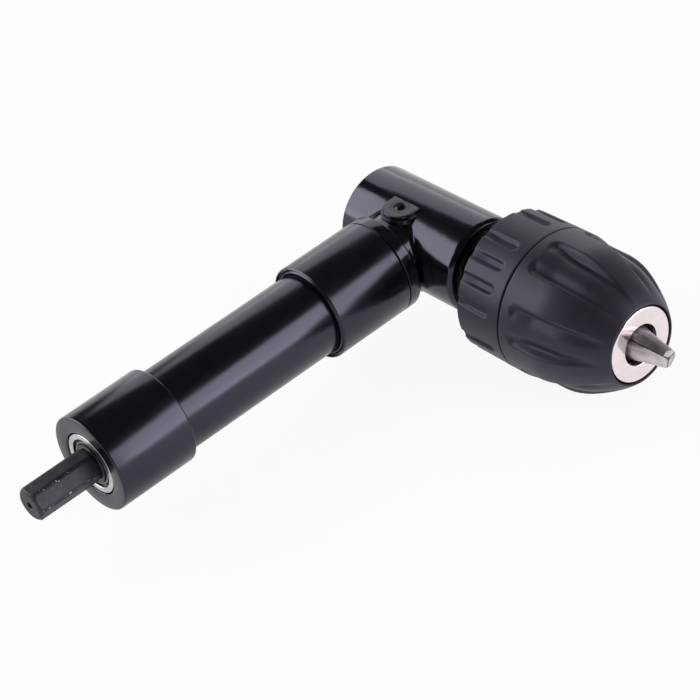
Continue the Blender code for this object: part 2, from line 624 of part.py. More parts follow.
def add_rear_ring():
    half = SLOT_WIDTH / 2 / grip_rear_radius
    foot = half * SLOT_FLOOR_SHARE
    angles = []
    for group in range(SLOT_GROUPS):
        start = SLOT_GROUP_ANGLE + math.tau * group / SLOT_GROUPS
        for index in range(SLOTS_PER_GROUP):
            centre = start + (index - (SLOTS_PER_GROUP - 1) / 2) * SLOT_PITCH
            angles += [centre - half, centre - foot, centre + foot, centre + half]
        angles.append(start + math.pi / SLOT_GROUPS)
    stations = [
        GRIP_REAR, GRIP_REAR + GRIP_EDGE, SLOT_FRONT - SLOT_WIDTH / 2,
        SLOT_FRONT - SLOT_WIDTH / 2 * (1 - SLOT_FLOOR_SHARE),
        SLOT_FRONT, GRIP_SPLIT - GRIP_EDGE, GRIP_SPLIT,
    ]
    sections = []
    for station in stations:
        share = (station - GRIP_REAR) / (GRIP_SPLIT - GRIP_REAR)
        skin_radius = grip_rear_radius + GRIP_TAPER * share
        if station in (GRIP_REAR, GRIP_SPLIT):
            skin_radius -= GRIP_EDGE
        sections.append(polar_section(station, lambda angle: skin_radius - slot_depth(station, angle), angles))
    ring = lofted("rear_grip_ring", sections, grip_plastic, chuck_line)
    inside = turned("rear_ring_inside", [
        (GRIP_REAR - RUN_GAP, 0.0), (GRIP_REAR - RUN_GAP, BODY_FLANGE_RADIUS + SEAT_GAP),
        (ring_web_end, BODY_FLANGE_RADIUS + SEAT_GAP), (ring_web_end, ring_inside),
        (GRIP_SPLIT + RUN_GAP, ring_inside), (GRIP_SPLIT + RUN_GAP, 0.0),
    ], None, chuck_line, LARGE_FACETS)
    combine(ring, inside, "DIFFERENCE")


def land_radius(station):
    # The full radius of the front sleeve: straight, then a cubic that runs smoothly into the nose.
    if station <= LAND_END:
        return grip_radius
    if station >= land_meet:
        return nose_radius(station)
    length = land_meet - LAND_END
    share = (station - LAND_END) / length
    met = nose_radius(land_meet)
    slope = (nose_centre - land_meet) / (met - nose_centre_radius)
    return (grip_radius + (met - grip_radius) * share ** 2 * (3 - 2 * share)
            + slope * length * share ** 2 * (share - 1))


def nose_radius(station):
    # The flute floors' own outline: a slight cone, then the arc of the nose.
    if station <= NOSE_TANGENT:
        return flute_floor_radius - (station - GRIP_SPLIT) * FLUTE_FLOOR_SLOPE
    return nose_centre_radius + math.sqrt(nose_arc_radius ** 2 - (station - nose_centre) ** 2)


def flute_share(station, angle):
    # 0 on the lands and 1 on the floor of a flute, with sloping walls and round rear corners.
    across = abs(math.remainder(angle - FLUTE_ANGLE, math.tau / FLUTES))
    inside = (FLUTE_HALF_ANGLE - across) / FLUTE_WALL_ANGLE
    behind = (station - FLUTE_START) / (grip_radius * FLUTE_WALL_ANGLE)
    if inside <= 0.0 or behind <= 0.0:
        return 0.0
    corner = FLUTE_CORNER_SHARE
    inward = corner - math.hypot(max(0.0, corner - inside), max(0.0, corner - behind))
    return min(1.0, max(0.0, inward))


def add_grip_sleeve():
    half = [FLUTE_HALF_ANGLE - FLUTE_WALL_ANGLE, FLUTE_HALF_ANGLE - FLUTE_WALL_ANGLE / 2, FLUTE_HALF_ANGLE]
    angles = []
    for flute in range(FLUTES):
        centre = FLUTE_ANGLE + math.tau * flute / FLUTES
        angles += [centre - edge for edge in reversed(half)] + [centre] + [centre + edge for edge in half]
        angles.append(centre + math.pi / FLUTES)
    wall = grip_radius * FLUTE_WALL_ANGLE
    stations = [
        sleeve_rear, sleeve_rear + GRIP_EDGE, FLUTE_START, FLUTE_START + wall / 2, FLUTE_START + wall,
        FLUTE_START + wall * FLUTE_CORNER_SHARE, LAND_END, NOSE_TANGENT,
    ]
    nose_steps = 4
    for step in range(1, nose_steps + 1):
        stations.append(NOSE_TANGENT + (NOSE_STATION - NOSE_TANGENT) * math.sin(math.pi / 2 * step / nose_steps))
    sections = []
    for station in stations:
        def radius_at(angle, station=station):
            share = flute_share(station, angle)
            full = land_radius(station)
            floor = min(full, nose_radius(station))
            trim = GRIP_EDGE if station == sleeve_rear else 0.0
            return full + (floor - full) * share - trim
        sections.append(polar_section(station, radius_at, angles))
    sleeve = lofted("grip_sleeve", sections, grip_plastic, sleeve_line)
    inside = turned("grip_sleeve_inside", [
        (sleeve_rear - RUN_GAP, 0.0), (sleeve_rear - RUN_GAP, shell_radius + SEAT_GAP),
        (shell_end + SEAT_GAP, shell_radius + SEAT_GAP), (shell_end + SEAT_GAP, BODY_FRONT_RADIUS + RUN_GAP),
        (front_taper_start + RUN_GAP, BODY_FRONT_RADIUS + RUN_GAP), (nose_seat, NOSE_RING_RADIUS + NOSE_GAP),
        (NOSE_STATION + RUN_GAP, NOSE_RING_RADIUS + NOSE_GAP), (NOSE_STATION + RUN_GAP, 0.0),
    ], None, sleeve_line, LARGE_FACETS)
    combine(sleeve, inside, "DIFFERENCE")


def add_nut():
    # The nut's cone rides on the backs of the jaws, inside a pressed shell that the sleeve turns.
    turned("jaw_nut", [
        (nut_start, jaw_outer_radius(nut_start) + RUN_GAP), (nut_start, nut_radius), (nut_end, nut_radius),
        (nut_end, jaw_outer_radius(nut_end) + RUN_GAP),
    ], gear_steel, sleeve_line, MEDIUM_FACETS, ring=True)
    turned("nut_shell", [
        (nut_start, nut_radius + SEAT_GAP), (nut_start, shell_radius), (shell_end, shell_radius),
        (shell_end, BODY_FRONT_RADIUS + RUN_GAP), (nut_end + SEAT_GAP, BODY_FRONT_RADIUS + RUN_GAP),
        (nut_end + SEAT_GAP, nut_radius + SEAT_GAP),
    ], spring_steel, sleeve_line, MEDIUM_FACETS, ring=True)


def add_thrust_bearing():
    # The balls that let the nut turn while it pushes the jaws.
    outer = thrust_inner + THRUST_WIDTH
    washer_end = washer_start + THRUST_WASHER_THICKNESS
    turned("thrust_washer", [
        (washer_start, thrust_inner), (washer_start, outer), (washer_end, outer), (washer_end, thrust_inner),
    ], bearing_steel, chuck_line, MEDIUM_FACETS, ring=True)
    middle = washer_end + SEAT_GAP + THRUST_BALL_RADIUS
    pitch = (thrust_inner + outer) / 2
    add_ball_cage("thrust_ball_cage", middle, pitch, THRUST_BALL_RADIUS, THRUST_BALLS, CAGE_THICKNESS / 2,
                  THRUST_WIDTH / 2, chuck_line)


def trim_solid(bm, point, normal):
    # Cuts away what lies on the normal's side of a plane and closes the cut.
    geometry = bm.verts[:] + bm.edges[:] + bm.faces[:]
    cut = bmesh.ops.bisect_plane(
        bm, geom=geometry, dist=1e-7, plane_co=point, plane_no=normal, clear_outer=True,
    )
    edges = [item for item in cut["geom_cut"] if isinstance(item, bmesh.types.BMEdge)]
    bmesh.ops.edgenet_fill(bm, edges=edges)


def add_jaw(index, line, nose_form):
    # A round bar in its tilted bore, cut to a wedge where it meets the other two jaws.
    back = (jaw_crossing - jaw_back) / math.cos(JAW_TILT)
    front = (JAW_TIP_STATION - jaw_crossing) / math.cos(JAW_TILT) + JAW_RADIUS
    bm = bmesh.new()
    shape = Matrix.Translation(((front - back) / 2, 0.0, 0.0)) @ Matrix.Rotation(math.pi / 2, 4, "Y")
    bmesh.ops.create_cone(
        bm, cap_ends=True, segments=SMALL_FACETS, radius1=JAW_RADIUS, radius2=JAW_RADIUS,
        depth=front + back, matrix=shape,
    )
    forward = Vector((math.cos(JAW_TILT), math.sin(JAW_TILT), 0.0))
    outward = Vector((-math.sin(JAW_TILT), math.cos(JAW_TILT), 0.0))
    side = Vector((0.0, 0.0, 1.0))
    tip = forward * (JAW_TIP_STATION - jaw_crossing)
    trim_solid(bm, tip, forward)
    for sign in (-1, 1):
        face_normal = side * (sign * math.cos(math.pi / JAW_COUNT)) - outward * math.sin(math.pi / JAW_COUNT)
        trim_solid(bm, -face_normal * JAW_FACE_GAP, face_normal)
    trim_solid(bm, outward * JAW_EDGE_FLAT, -outward)
    chamfer_normal = (forward + outward).normalized()
    trim_solid(bm, tip + outward * (JAW_TIP_RADIUS - JAW_TIP_CHAMFER / 2), chamfer_normal)
    jaw = make_object(f"jaw_{index + 1}", bm, jaw_steel, line)
    combine(jaw, nose_form, "INTERSECT")


def add_jaws():
    # The three jaws, whose fronts are ground together to one slim cone.
    cone_start = JAW_TIP_STATION - JAW_NOSE_LENGTH
    cone_radius = JAW_TIP_RADIUS + JAW_NOSE_LENGTH * JAW_NOSE_SLOPE
    widest = jaw_outer_radius(jaw_back) + RUN_GAP
    nose_form = turned("jaw_nose_form", [
        (jaw_back - RUN_GAP, 0.0), (jaw_back - RUN_GAP, widest), (cone_start - JAW_RADIUS, widest),
        (cone_start, cone_radius), (JAW_TIP_STATION, JAW_TIP_RADIUS),
        (JAW_TIP_STATION + RUN_GAP, JAW_TIP_RADIUS), (JAW_TIP_STATION + RUN_GAP, 0.0),
    ], None, chuck_line, LARGE_FACETS)
    for index, line in enumerate(jaw_lines):
        add_jaw(index, line, nose_form)


for leftover in list(bpy.data.objects):
    bpy.data.objects.remove(leftover)

painted_casting = make_material("gloss_painted_casting", (0.012, 0.011, 0.014), 0.28, 0.0)
painted_steel = make_material("gloss_painted_steel", (0.010, 0.010, 0.013), 0.18, 0.0)
oxide_steel = make_material("black_oxide_steel", (0.045, 0.045, 0.050), 0.38, 1.0)
bearing_steel = make_material("ground_bearing_steel", (0.55, 0.55, 0.56), 0.25, 1.0)
shield_steel = make_material("pressed_shield_steel", (0.16, 0.16, 0.17), 0.40, 1.0)
gear_steel = make_material("cut_gear_steel", (0.32, 0.32, 0.33), 0.40, 1.0)
spring_steel = make_material("blued_spring_steel", (0.07, 0.07, 0.09), 0.35, 1.0)
bronze = make_material("sintered_bronze", (0.42, 0.26, 0.12), 0.50, 1.0)
chuck_steel = make_material("turned_chuck_steel", (0.38, 0.38, 0.39), 0.35, 1.0)
jaw_steel = make_material("hardened_jaw_steel", (0.48, 0.47, 0.47), 0.30, 1.0)
nickel = make_material("polished_nickel_plate", (0.78, 0.74, 0.73), 0.12, 1.0)
grip_plastic = make_material("moulded_grip_nylon", (0.022, 0.021, 0.024), 0.48, 0.0)

# Stations along the barrel
shaft_bore = SHAFT_RADIUS + SEAT_GAP
socket_radius = TUBE_RADIUS + SEAT_GAP
band_radius = socket_radius + BAND_WALL
collar_radius = socket_radius + COLLAR_WALL
front_bearing_radius = TUBE_RADIUS - SPIGOT_WALL - SEAT_GAP
band_start = NECK_LENGTH
band_end = band_start + BAND_LENGTH
spigot_end = band_end + SPIGOT_LENGTH
sleeve_start = band_end + SEAT_GAP
sleeve_end = band_end + SLEEVE_LENGTH
collar_start = sleeve_end + TUBE_EXPOSED
collar_end = collar_start + COLLAR_LENGTH
tube_start = spigot_end + SEAT_GAP
tube_end = collar_start + COLLAR_SOCKET
rear_bearing_start = collar_end - SEAT_GAP - REAR_BEARING_WIDTH
rear_pocket = REAR_BEARING_RADIUS + SEAT_GAP
rear_shoulder = REAR_BEARING_RADIUS - REAR_SHOULDER_WIDTH
shank_end = collar_end + SHANK_EXPOSED
hex_start = collar_end + SEAT_GAP
spacer_bore = front_bearing_radius - SPACER_WALL
spacer_start = FRONT_BEARING_START + FRONT_BEARING_WIDTH + SEAT_GAP
spacer_end = tube_start - SEAT_GAP
tip_radius = PITCH_RADIUS + 2 * PITCH_RADIUS / GEAR_TEETH * ADDENDUM_SHARE * math.cos(math.radians(45))
pinion_bore = tip_radius + 2 * SEAT_GAP

# Stations along the head and the chuck
spindle_bearing_end = SPINDLE_BEARING_START + SPINDLE_BEARING_WIDTH
pocket_radius = SPINDLE_BEARING_RADIUS + SEAT_GAP
ring_start = spindle_bearing_end + SEAT_GAP
ring_end = ring_start + RING_THICKNESS
bush_front = BUSH_REAR + BUSH_LENGTH
spindle_rear = BUSH_REAR + SEAT_GAP
thread_bore = THREAD_RADIUS + SEAT_GAP
collar_rear = spindle_bearing_end + SEAT_GAP
flange_rear = HEAD_FRONT + 2 * RUN_GAP
flange_front = flange_rear + COLLAR_FLANGE_LENGTH
body_rear = flange_front + SEAT_GAP
flange_start = GRIP_REAR + BODY_FLANGE_SETBACK
flange_end = flange_start + BODY_FLANGE_LENGTH
ring_web_end = GRIP_REAR + RING_WEB_THICKNESS
spindle_front = body_rear + THREAD_LENGTH
web_rear = spindle_front + SEAT_GAP
web_front = web_rear + BODY_WEB_THICKNESS
screw_hole = CHUCK_SCREW_RADIUS + SEAT_GAP
screw_tip = web_front - CHUCK_SCREW_LENGTH
screw_hole_end = screw_tip - SEAT_GAP
screw_head_front = web_front + SEAT_GAP + CHUCK_SCREW_HEAD_LENGTH
shoulder_front = BODY_SHOULDER_REAR + BODY_SHOULDER_LENGTH
washer_start = shoulder_front + SEAT_GAP
nut_start = washer_start + THRUST_WASHER_THICKNESS + 2 * SEAT_GAP + 2 * THRUST_BALL_RADIUS
nut_end = nut_start + NUT_LENGTH
shell_end = nut_end + SEAT_GAP + SHELL_LIP
front_taper_start = nut_end + RUN_GAP + BODY_FRONT_LENGTH
nose_lip = NOSE_STATION - NOSE_RING_LIP
nose_seat = nose_lip - NOSE_SEAT_DEPTH
nose_seat_radius = NOSE_RING_RADIUS - SEAT_GAP
sleeve_rear = GRIP_SPLIT + GRIP_SPLIT_GAP
land_meet = NOSE_STATION - LAND_MEET_SETBACK

# The jaws' axes meet just behind their tips, and the other radii are built outwards from the jaws
jaw_crossing = JAW_TIP_STATION - (JAW_RADIUS / math.cos(JAW_TILT) - JAW_TIP_RADIUS) / math.tan(JAW_TILT)
jaw_back = JAW_TIP_STATION - JAW_LENGTH * math.cos(JAW_TILT)
jaw_open_back = jaw_back - JAW_TRAVEL * math.cos(JAW_TILT)
thrust_inner = jaw_outer_radius(shoulder_front) + 2 * RUN_GAP
shoulder_radius = thrust_inner + THRUST_WIDTH + 2 * SEAT_GAP
nut_radius = jaw_outer_radius(nut_start) + RUN_GAP + NUT_WALL
shell_radius = nut_radius + SEAT_GAP + SHELL_WALL
grip_radius = shell_radius + SEAT_GAP + SLEEVE_WALL
grip_rear_radius = grip_radius - GRIP_TAPER
ring_inside = jaw_outer_radius(jaw_open_back) + JAW_CLEARANCE

# The nose arc starts along the flute floors' cone and ends at the lip round the nose ring
flute_floor_radius = grip_radius - FLUTE_REAR_DEPTH
floor_angle = math.atan(FLUTE_FLOOR_SLOPE)
tangent_radius = flute_floor_radius - (NOSE_TANGENT - GRIP_SPLIT) * FLUTE_FLOOR_SLOPE
nose_span = Vector((NOSE_STATION - NOSE_TANGENT, NOSE_RING_RADIUS + NOSE_GAP + NOSE_LIP - tangent_radius))
nose_inward = Vector((-math.sin(floor_angle), -math.cos(floor_angle)))
nose_arc_radius = nose_span.length_squared / (2 * nose_span.dot(nose_inward))
nose_centre = NOSE_TANGENT + nose_arc_radius * nose_inward.x
nose_centre_radius = tangent_radius + nose_arc_radius * nose_inward.y

# Lines that the pieces sit on; the input, chuck, sleeve and jaw lines are joint axes
crossing = make_empty("crossing", Matrix.Translation((
    -(HEAD_REAR + JAW_TIP_STATION) / 2, (shank_end - grip_radius) / 2, grip_radius,
)))
barrel_turn = Matrix.Rotation(-math.pi / 2, 4, "Z")
spindle_line = make_empty("spindle_line", Matrix.Identity(4), crossing)
barrel_line = make_empty("barrel_line", barrel_turn, crossing)
input_line = make_empty("input_line", barrel_turn, crossing)
chuck_line = make_empty("chuck_line", Matrix.Identity(4), crossing)
sleeve_line = make_empty("sleeve_line", Matrix.Identity(4), chuck_line)
port_line = make_empty(
    "port_line",
    Matrix.Translation((0.0, -LUG_STATION, 0.0)) @ Matrix.Rotation(-math.pi / 2, 4, "Y"),
    crossing,
)
jaw_lines = []
for number in range(JAW_COUNT):
    turn = Matrix.Rotation(JAW_ANGLE + math.tau * number / JAW_COUNT, 4, "X")
    tilt = Matrix.Rotation(-JAW_TILT, 4, "Z")
    place = Matrix.Translation((jaw_crossing, 0.0, 0.0)) @ turn @ tilt
    jaw_lines.append(make_empty(f"jaw_line_{number + 1}", place, chuck_line))

add_gear_head()
add_barrel()
add_input_shaft()
add_spindle()
add_chuck_body()
add_rear_ring()
add_grip_sleeve()
add_nut()
add_thrust_bearing()
add_jaws()
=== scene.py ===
import bpy
import math
from mathutils import Matrix, Vector


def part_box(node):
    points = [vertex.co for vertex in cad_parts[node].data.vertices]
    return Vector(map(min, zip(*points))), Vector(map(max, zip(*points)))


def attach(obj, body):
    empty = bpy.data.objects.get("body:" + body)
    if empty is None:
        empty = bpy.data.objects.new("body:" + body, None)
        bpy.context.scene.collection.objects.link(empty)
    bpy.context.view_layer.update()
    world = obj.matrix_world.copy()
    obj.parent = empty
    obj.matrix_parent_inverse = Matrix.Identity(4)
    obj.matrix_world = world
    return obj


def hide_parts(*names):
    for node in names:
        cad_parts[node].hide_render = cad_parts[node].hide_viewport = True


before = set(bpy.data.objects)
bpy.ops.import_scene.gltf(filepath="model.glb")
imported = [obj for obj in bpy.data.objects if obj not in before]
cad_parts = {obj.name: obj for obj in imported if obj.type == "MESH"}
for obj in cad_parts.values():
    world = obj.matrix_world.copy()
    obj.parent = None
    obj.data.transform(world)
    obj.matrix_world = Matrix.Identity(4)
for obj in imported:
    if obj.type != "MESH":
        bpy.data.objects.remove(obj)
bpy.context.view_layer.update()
mm = 0.001
print("frame loaded:", len(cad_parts), "CAD nodes")

# the point where the barrel's and the chuck's axes cross, read from the frame
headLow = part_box("gear_head_housing")[0]
crossing = Vector((headLow.x + 16.6 * mm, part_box("nose_ring")[0].y / 2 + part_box("nose_ring")[1].y / 2,
                   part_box("nose_ring")[0].z / 2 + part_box("nose_ring")[1].z / 2))
lines = {
    "chuck": {"along": Vector((1, 0, 0)), "turn": (0, math.pi / 2, 0)},
    "barrel": {"along": Vector((0, -1, 0)), "turn": (math.pi / 2, 0, 0)},
    "upright": {"along": Vector((0, 0, 1)), "turn": (0, 0, 0)},
}


# modelling helpers
def clearSelection():
    if bpy.context.mode != "OBJECT":
        bpy.ops.object.mode_set(mode="OBJECT")
    bpy.ops.object.select_all(action="DESELECT")


def selectOnly(piece):
    clearSelection()
    piece.select_set(True)
    bpy.context.view_layer.objects.active = piece


def selectVertices(piece, wanted):
    # in edit mode, only the vertices whose place in mm from the crossing is wanted
    selectOnly(piece)
    bpy.ops.object.mode_set(mode="EDIT")
    bpy.ops.mesh.select_mode(type="VERT")
    bpy.ops.mesh.select_all(action="DESELECT")
    bpy.ops.object.mode_set(mode="OBJECT")
    for vertex in piece.data.vertices:
        vertex.select = wanted((vertex.co - crossing) / mm)
    bpy.ops.object.mode_set(mode="EDIT")


def settle(piece, name, smoothAngle=35):
    # name it, put its origin at the world's and shade it
    selectOnly(piece)
    bpy.ops.object.transform_apply(location=True, rotation=True, scale=True)
    bpy.ops.object.mode_set(mode="EDIT")
    bpy.ops.mesh.select_all(action="SELECT")
    bpy.ops.mesh.remove_doubles(threshold=0.002 * mm)
    bpy.ops.mesh.normals_make_consistent(inside=False)
    bpy.ops.object.mode_set(mode="OBJECT")
    bpy.ops.object.shade_smooth_by_angle(angle=math.radians(smoothAngle))
    piece.name = name
    piece.data.name = name
    return piece


def turnPiece(name, profile, line="chuck", centre=None, segments=96, smoothAngle=35):
    # a circle pulled from station to station and resized, as a lathe would leave it
    clearSelection()
    along = lines[line]["along"]
    middle = crossing if centre is None else centre
    first = max(profile[0][1], 0.01)
    bpy.ops.mesh.primitive_circle_add(
        vertices=segments, radius=first * mm, fill_type="NOTHING",
        location=middle + along * profile[0][0] * mm, rotation=lines[line]["turn"])
    piece = bpy.context.active_object
    bpy.ops.object.mode_set(mode="EDIT")
    bpy.ops.mesh.select_all(action="SELECT")
    before, radiusBefore = profile[0][0], first
    for station, radius in profile[1:]:
        radius = max(radius, 0.01)
        bpy.ops.mesh.extrude_region_move(
            TRANSFORM_OT_translate={"value": along * (station - before) * mm})
        share = radius / radiusBefore
        if abs(share - 1) > 1e-6:
            bpy.ops.transform.resize(value=(share, share, share),
                                     center_override=middle + along * station * mm)
        before, radiusBefore = station, radius
    bpy.ops.object.mode_set(mode="OBJECT")
    return settle(piece, name, smoothAngle)


def roundedCorner(corner, before, after, radius, steps=3):
    # points that round a profile's corner between its two neighbours
    corner, before, after = Vector(corner), Vector(before), Vector(after)
    start = corner + (before - corner).normalized() * radius
    end = corner + (after - corner).normalized() * radius
    points = []
    for step in range(steps + 1):
        share = step / steps
        points.append(tuple(start * (1 - share) ** 2 + corner * 2 * share * (1 - share)
                            + end * share ** 2))
    return points


def softProfile(points, radius=0.3, steps=3, loop=False):
    # the same profile with every corner rounded; short sides take a smaller radius
    result = []
    count = len(points)
    for index, point in enumerate(points):
        if not loop and index in (0, count - 1):
            result.append(tuple(point))
            continue
        before, after = points[index - 1], points[(index + 1) % count]
        shortest = min((Vector(point) - Vector(side)).length for side in (before, after))
        room = shortest * 0.45
        result += roundedCorner(point, before, after, min(radius, room), steps)
    if loop:
        result.append(result[0])
    return result


def reshapeRadius(piece, line, radiusAt):
    # moves each vertex towards or away from the axis: radiusAt(station, angle, radius)
    along = lines[line]["along"]
    across = Vector((0, 1, 0)) if line == "chuck" else Vector((1, 0, 0))
    upward = Vector((0, 0, 1))
    for vertex in piece.data.vertices:
        offset = vertex.co - crossing
        station = offset.dot(along)
        sideways, height = offset.dot(across), offset.dot(upward)
        radius = math.hypot(sideways, height)
        if radius < 1e-7:
            continue
        wanted = radiusAt(station / mm, math.atan2(height, sideways), radius / mm) * mm
        flat = across * sideways + upward * height
        vertex.co = crossing + along * station + flat * (wanted / radius)
    piece.data.update()


def applyModifier(piece, kind, **settings):
    selectOnly(piece)
    modifier = piece.modifiers.new(kind.lower(), kind)
    for key, value in settings.items():
        setattr(modifier, key, value)
    bpy.ops.object.modifier_apply(modifier=modifier.name)


def joinPieces(name, parts, smoothAngle=35):
    clearSelection()
    for part in parts:
        part.select_set(True)
    bpy.context.view_layer.objects.active = parts[0]
    bpy.ops.object.join()
    joined = bpy.context.active_object
    bpy.ops.object.shade_smooth_by_angle(angle=math.radians(smoothAngle))
    joined.name = name
    joined.data.name = name
    return joined


def finishPiece(piece, body, slotName, material, *nodes):
    piece.data.materials.clear()
    piece.data.materials.append(material)
    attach(piece, body)
    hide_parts(*nodes)
    return piece


def smoothShare(value):
    value = min(1.0, max(0.0, value))
    return value * value * (3 - 2 * value)


# materials
def linearColour(hexValue):
    channels = [int(hexValue[place:place + 2], 16) / 255 for place in (0, 2, 4)]
    return [c / 12.92 if c <= 0.04045 else ((c + 0.055) / 1.055) ** 2.4 for c in channels] + [1.0]


def addNode(tree, kind, links=(), stops=(), **settings):
    # one node with its settings, its colour stops and its links as (socket, from node, from socket)
    node = tree.nodes.new(kind)
    for key, value in settings.items():
        if key in node.inputs:
            node.inputs[key].default_value = value
        else:
            setattr(node, key, value)
    for index, (place, shade) in enumerate(stops):
        node.color_ramp.elements[index].position = place
        node.color_ramp.elements[index].color = linearColour(shade)
    for socket, source, output in links:
        tree.links.new(source.outputs[output], node.inputs[socket])
    return node


def newMaterial(name):
    material = bpy.data.materials.new(name)
    material.use_nodes = True
    tree = material.node_tree
    return material, tree, tree.nodes["Principled BSDF"]


def makeEnamel(name, base, worn, roughness, waveSize, waveHeight):
    # black stoving enamel: deep under a wet gloss, slightly wavy where the coat pulled back as it dried
    material, tree, shader = newMaterial(name)
    place = addNode(tree, "ShaderNodeTexCoord")
    wave = addNode(tree, "ShaderNodeTexNoise", [("Vector", place, "Object")], Scale=1 / (waveSize * mm),
                   Detail=2.0)
    haze = addNode(tree, "ShaderNodeTexNoise", [("Vector", place, "Object")], Scale=1 / (9 * mm),
                   Detail=3.0)
    tint = addNode(tree, "ShaderNodeValToRGB", [("Fac", wave, "Fac")], [(0.35, base), (0.85, worn)])
    gloss = addNode(tree, "ShaderNodeMapRange", [("Value", haze, "Fac")])
    gloss.inputs["To Min"].default_value = roughness * 0.7
    gloss.inputs["To Max"].default_value = roughness * 1.4
    relief = addNode(tree, "ShaderNodeBump", [("Height", wave, "Fac")], Strength=1.0,
                     Distance=waveHeight * mm)
    tree.links.new(tint.outputs["Color"], shader.inputs["Base Color"])
    tree.links.new(gloss.outputs["Result"], shader.inputs["Roughness"])
    tree.links.new(relief.outputs["Normal"], shader.inputs["Normal"])
    shader.inputs["IOR"].default_value = 1.6
    shader.inputs["Specular Tint"].default_value = linearColour("e6dfff")
    return material


def makeSteel(name, dark, light, roughness, lineSize, direction, lineHeight, mottle=2.0):
    # machined steel: fine tool lines across the turning direction and a slow change of tone
    material, tree, shader = newMaterial(name)
    place = addNode(tree, "ShaderNodeTexCoord")
    patch = addNode(tree, "ShaderNodeTexNoise", [("Vector", place, "Object")], Scale=1 / (mottle * mm),
                    Detail=4.0)
    toolLines = addNode(tree, "ShaderNodeTexWave", [("Vector", place, "Object")],
                        wave_type="BANDS", bands_direction=direction, Scale=1 / (lineSize * 20 * mm),
                        Distortion=0.6, Detail=2.0)
    tint = addNode(tree, "ShaderNodeValToRGB", [("Fac", patch, "Fac")], [(0.3, dark), (0.7, light)])
    gloss = addNode(tree, "ShaderNodeMapRange", [("Value", patch, "Fac")])
    gloss.inputs["To Min"].default_value = roughness * 0.75
    gloss.inputs["To Max"].default_value = roughness * 1.3
    relief = addNode(tree, "ShaderNodeBump", [("Height", toolLines, "Fac")], Strength=1.0,
                     Distance=lineHeight * mm)
    tree.links.new(tint.outputs["Color"], shader.inputs["Base Color"])
    tree.links.new(gloss.outputs["Result"], shader.inputs["Roughness"])
    tree.links.new(relief.outputs["Normal"], shader.inputs["Normal"])
    shader.inputs["Metallic"].default_value = 1.0
    return material


def makeOxide(name, dark, light, bare, roughness, markSize, markHeight, cornerRadius):
    # black oxide on cold-drawn bar: dull and oily, rubbed to bare metal in specks, most at the corners
    cornerWidth, cornerLift, wearStart, wearFull = 0.12, 0.07, 0.68, 0.75
    material, tree, shader = newMaterial(name)
    place = addNode(tree, "ShaderNodeTexCoord")
    marks = addNode(tree, "ShaderNodeTexNoise", [("Vector", place, "Object")],
                    Scale=1 / (markSize * mm), Detail=5.0)
    stain = addNode(tree, "ShaderNodeTexNoise", [("Vector", place, "Object")], Scale=1 / (5 * mm),
                    Detail=2.0)
    tint = addNode(tree, "ShaderNodeValToRGB", [("Fac", stain, "Fac")], [(0.3, dark), (0.7, light)])
    fromAxis = addNode(tree, "ShaderNodeVectorMath", [(0, place, "Object")], operation="SUBTRACT")
    fromAxis.inputs[1].default_value = crossing
    across = addNode(tree, "ShaderNodeVectorMath", [(0, fromAxis, "Vector")], operation="MULTIPLY")
    across.inputs[1].default_value = (1, 0, 1)
    radius = addNode(tree, "ShaderNodeVectorMath", [(0, across, "Vector")], operation="LENGTH")
    corner = addNode(tree, "ShaderNodeMapRange", [("Value", radius, "Value")])
    corner.inputs["From Min"].default_value = (cornerRadius - cornerWidth) * mm
    corner.inputs["From Max"].default_value = cornerRadius * mm
    corner.inputs["To Max"].default_value = cornerLift
    exposed = addNode(tree, "ShaderNodeMath", [(0, marks, "Fac"), (1, corner, "Result")],
                      operation="ADD")
    rubbed = addNode(tree, "ShaderNodeMapRange", [("Value", exposed, "Value")])
    rubbed.inputs["From Min"].default_value = wearStart
    rubbed.inputs["From Max"].default_value = wearFull
    colour = addNode(tree, "ShaderNodeMix", [("Factor", rubbed, "Result"), (6, tint, "Color")],
                     data_type="RGBA")
    colour.inputs[7].default_value = linearColour(bare)
    gloss = addNode(tree, "ShaderNodeMapRange", [("Value", marks, "Fac")])
    gloss.inputs["To Min"].default_value = roughness * 0.8
    gloss.inputs["To Max"].default_value = roughness * 1.3
    relief = addNode(tree, "ShaderNodeBump", [("Height", marks, "Fac")], Strength=1.0,
                     Distance=markHeight * mm)
    tree.links.new(colour.outputs[2], shader.inputs["Base Color"])
    tree.links.new(gloss.outputs["Result"], shader.inputs["Roughness"])
    tree.links.new(relief.outputs["Normal"], shader.inputs["Normal"])
    shader.inputs["Metallic"].default_value = 0.5
    return material


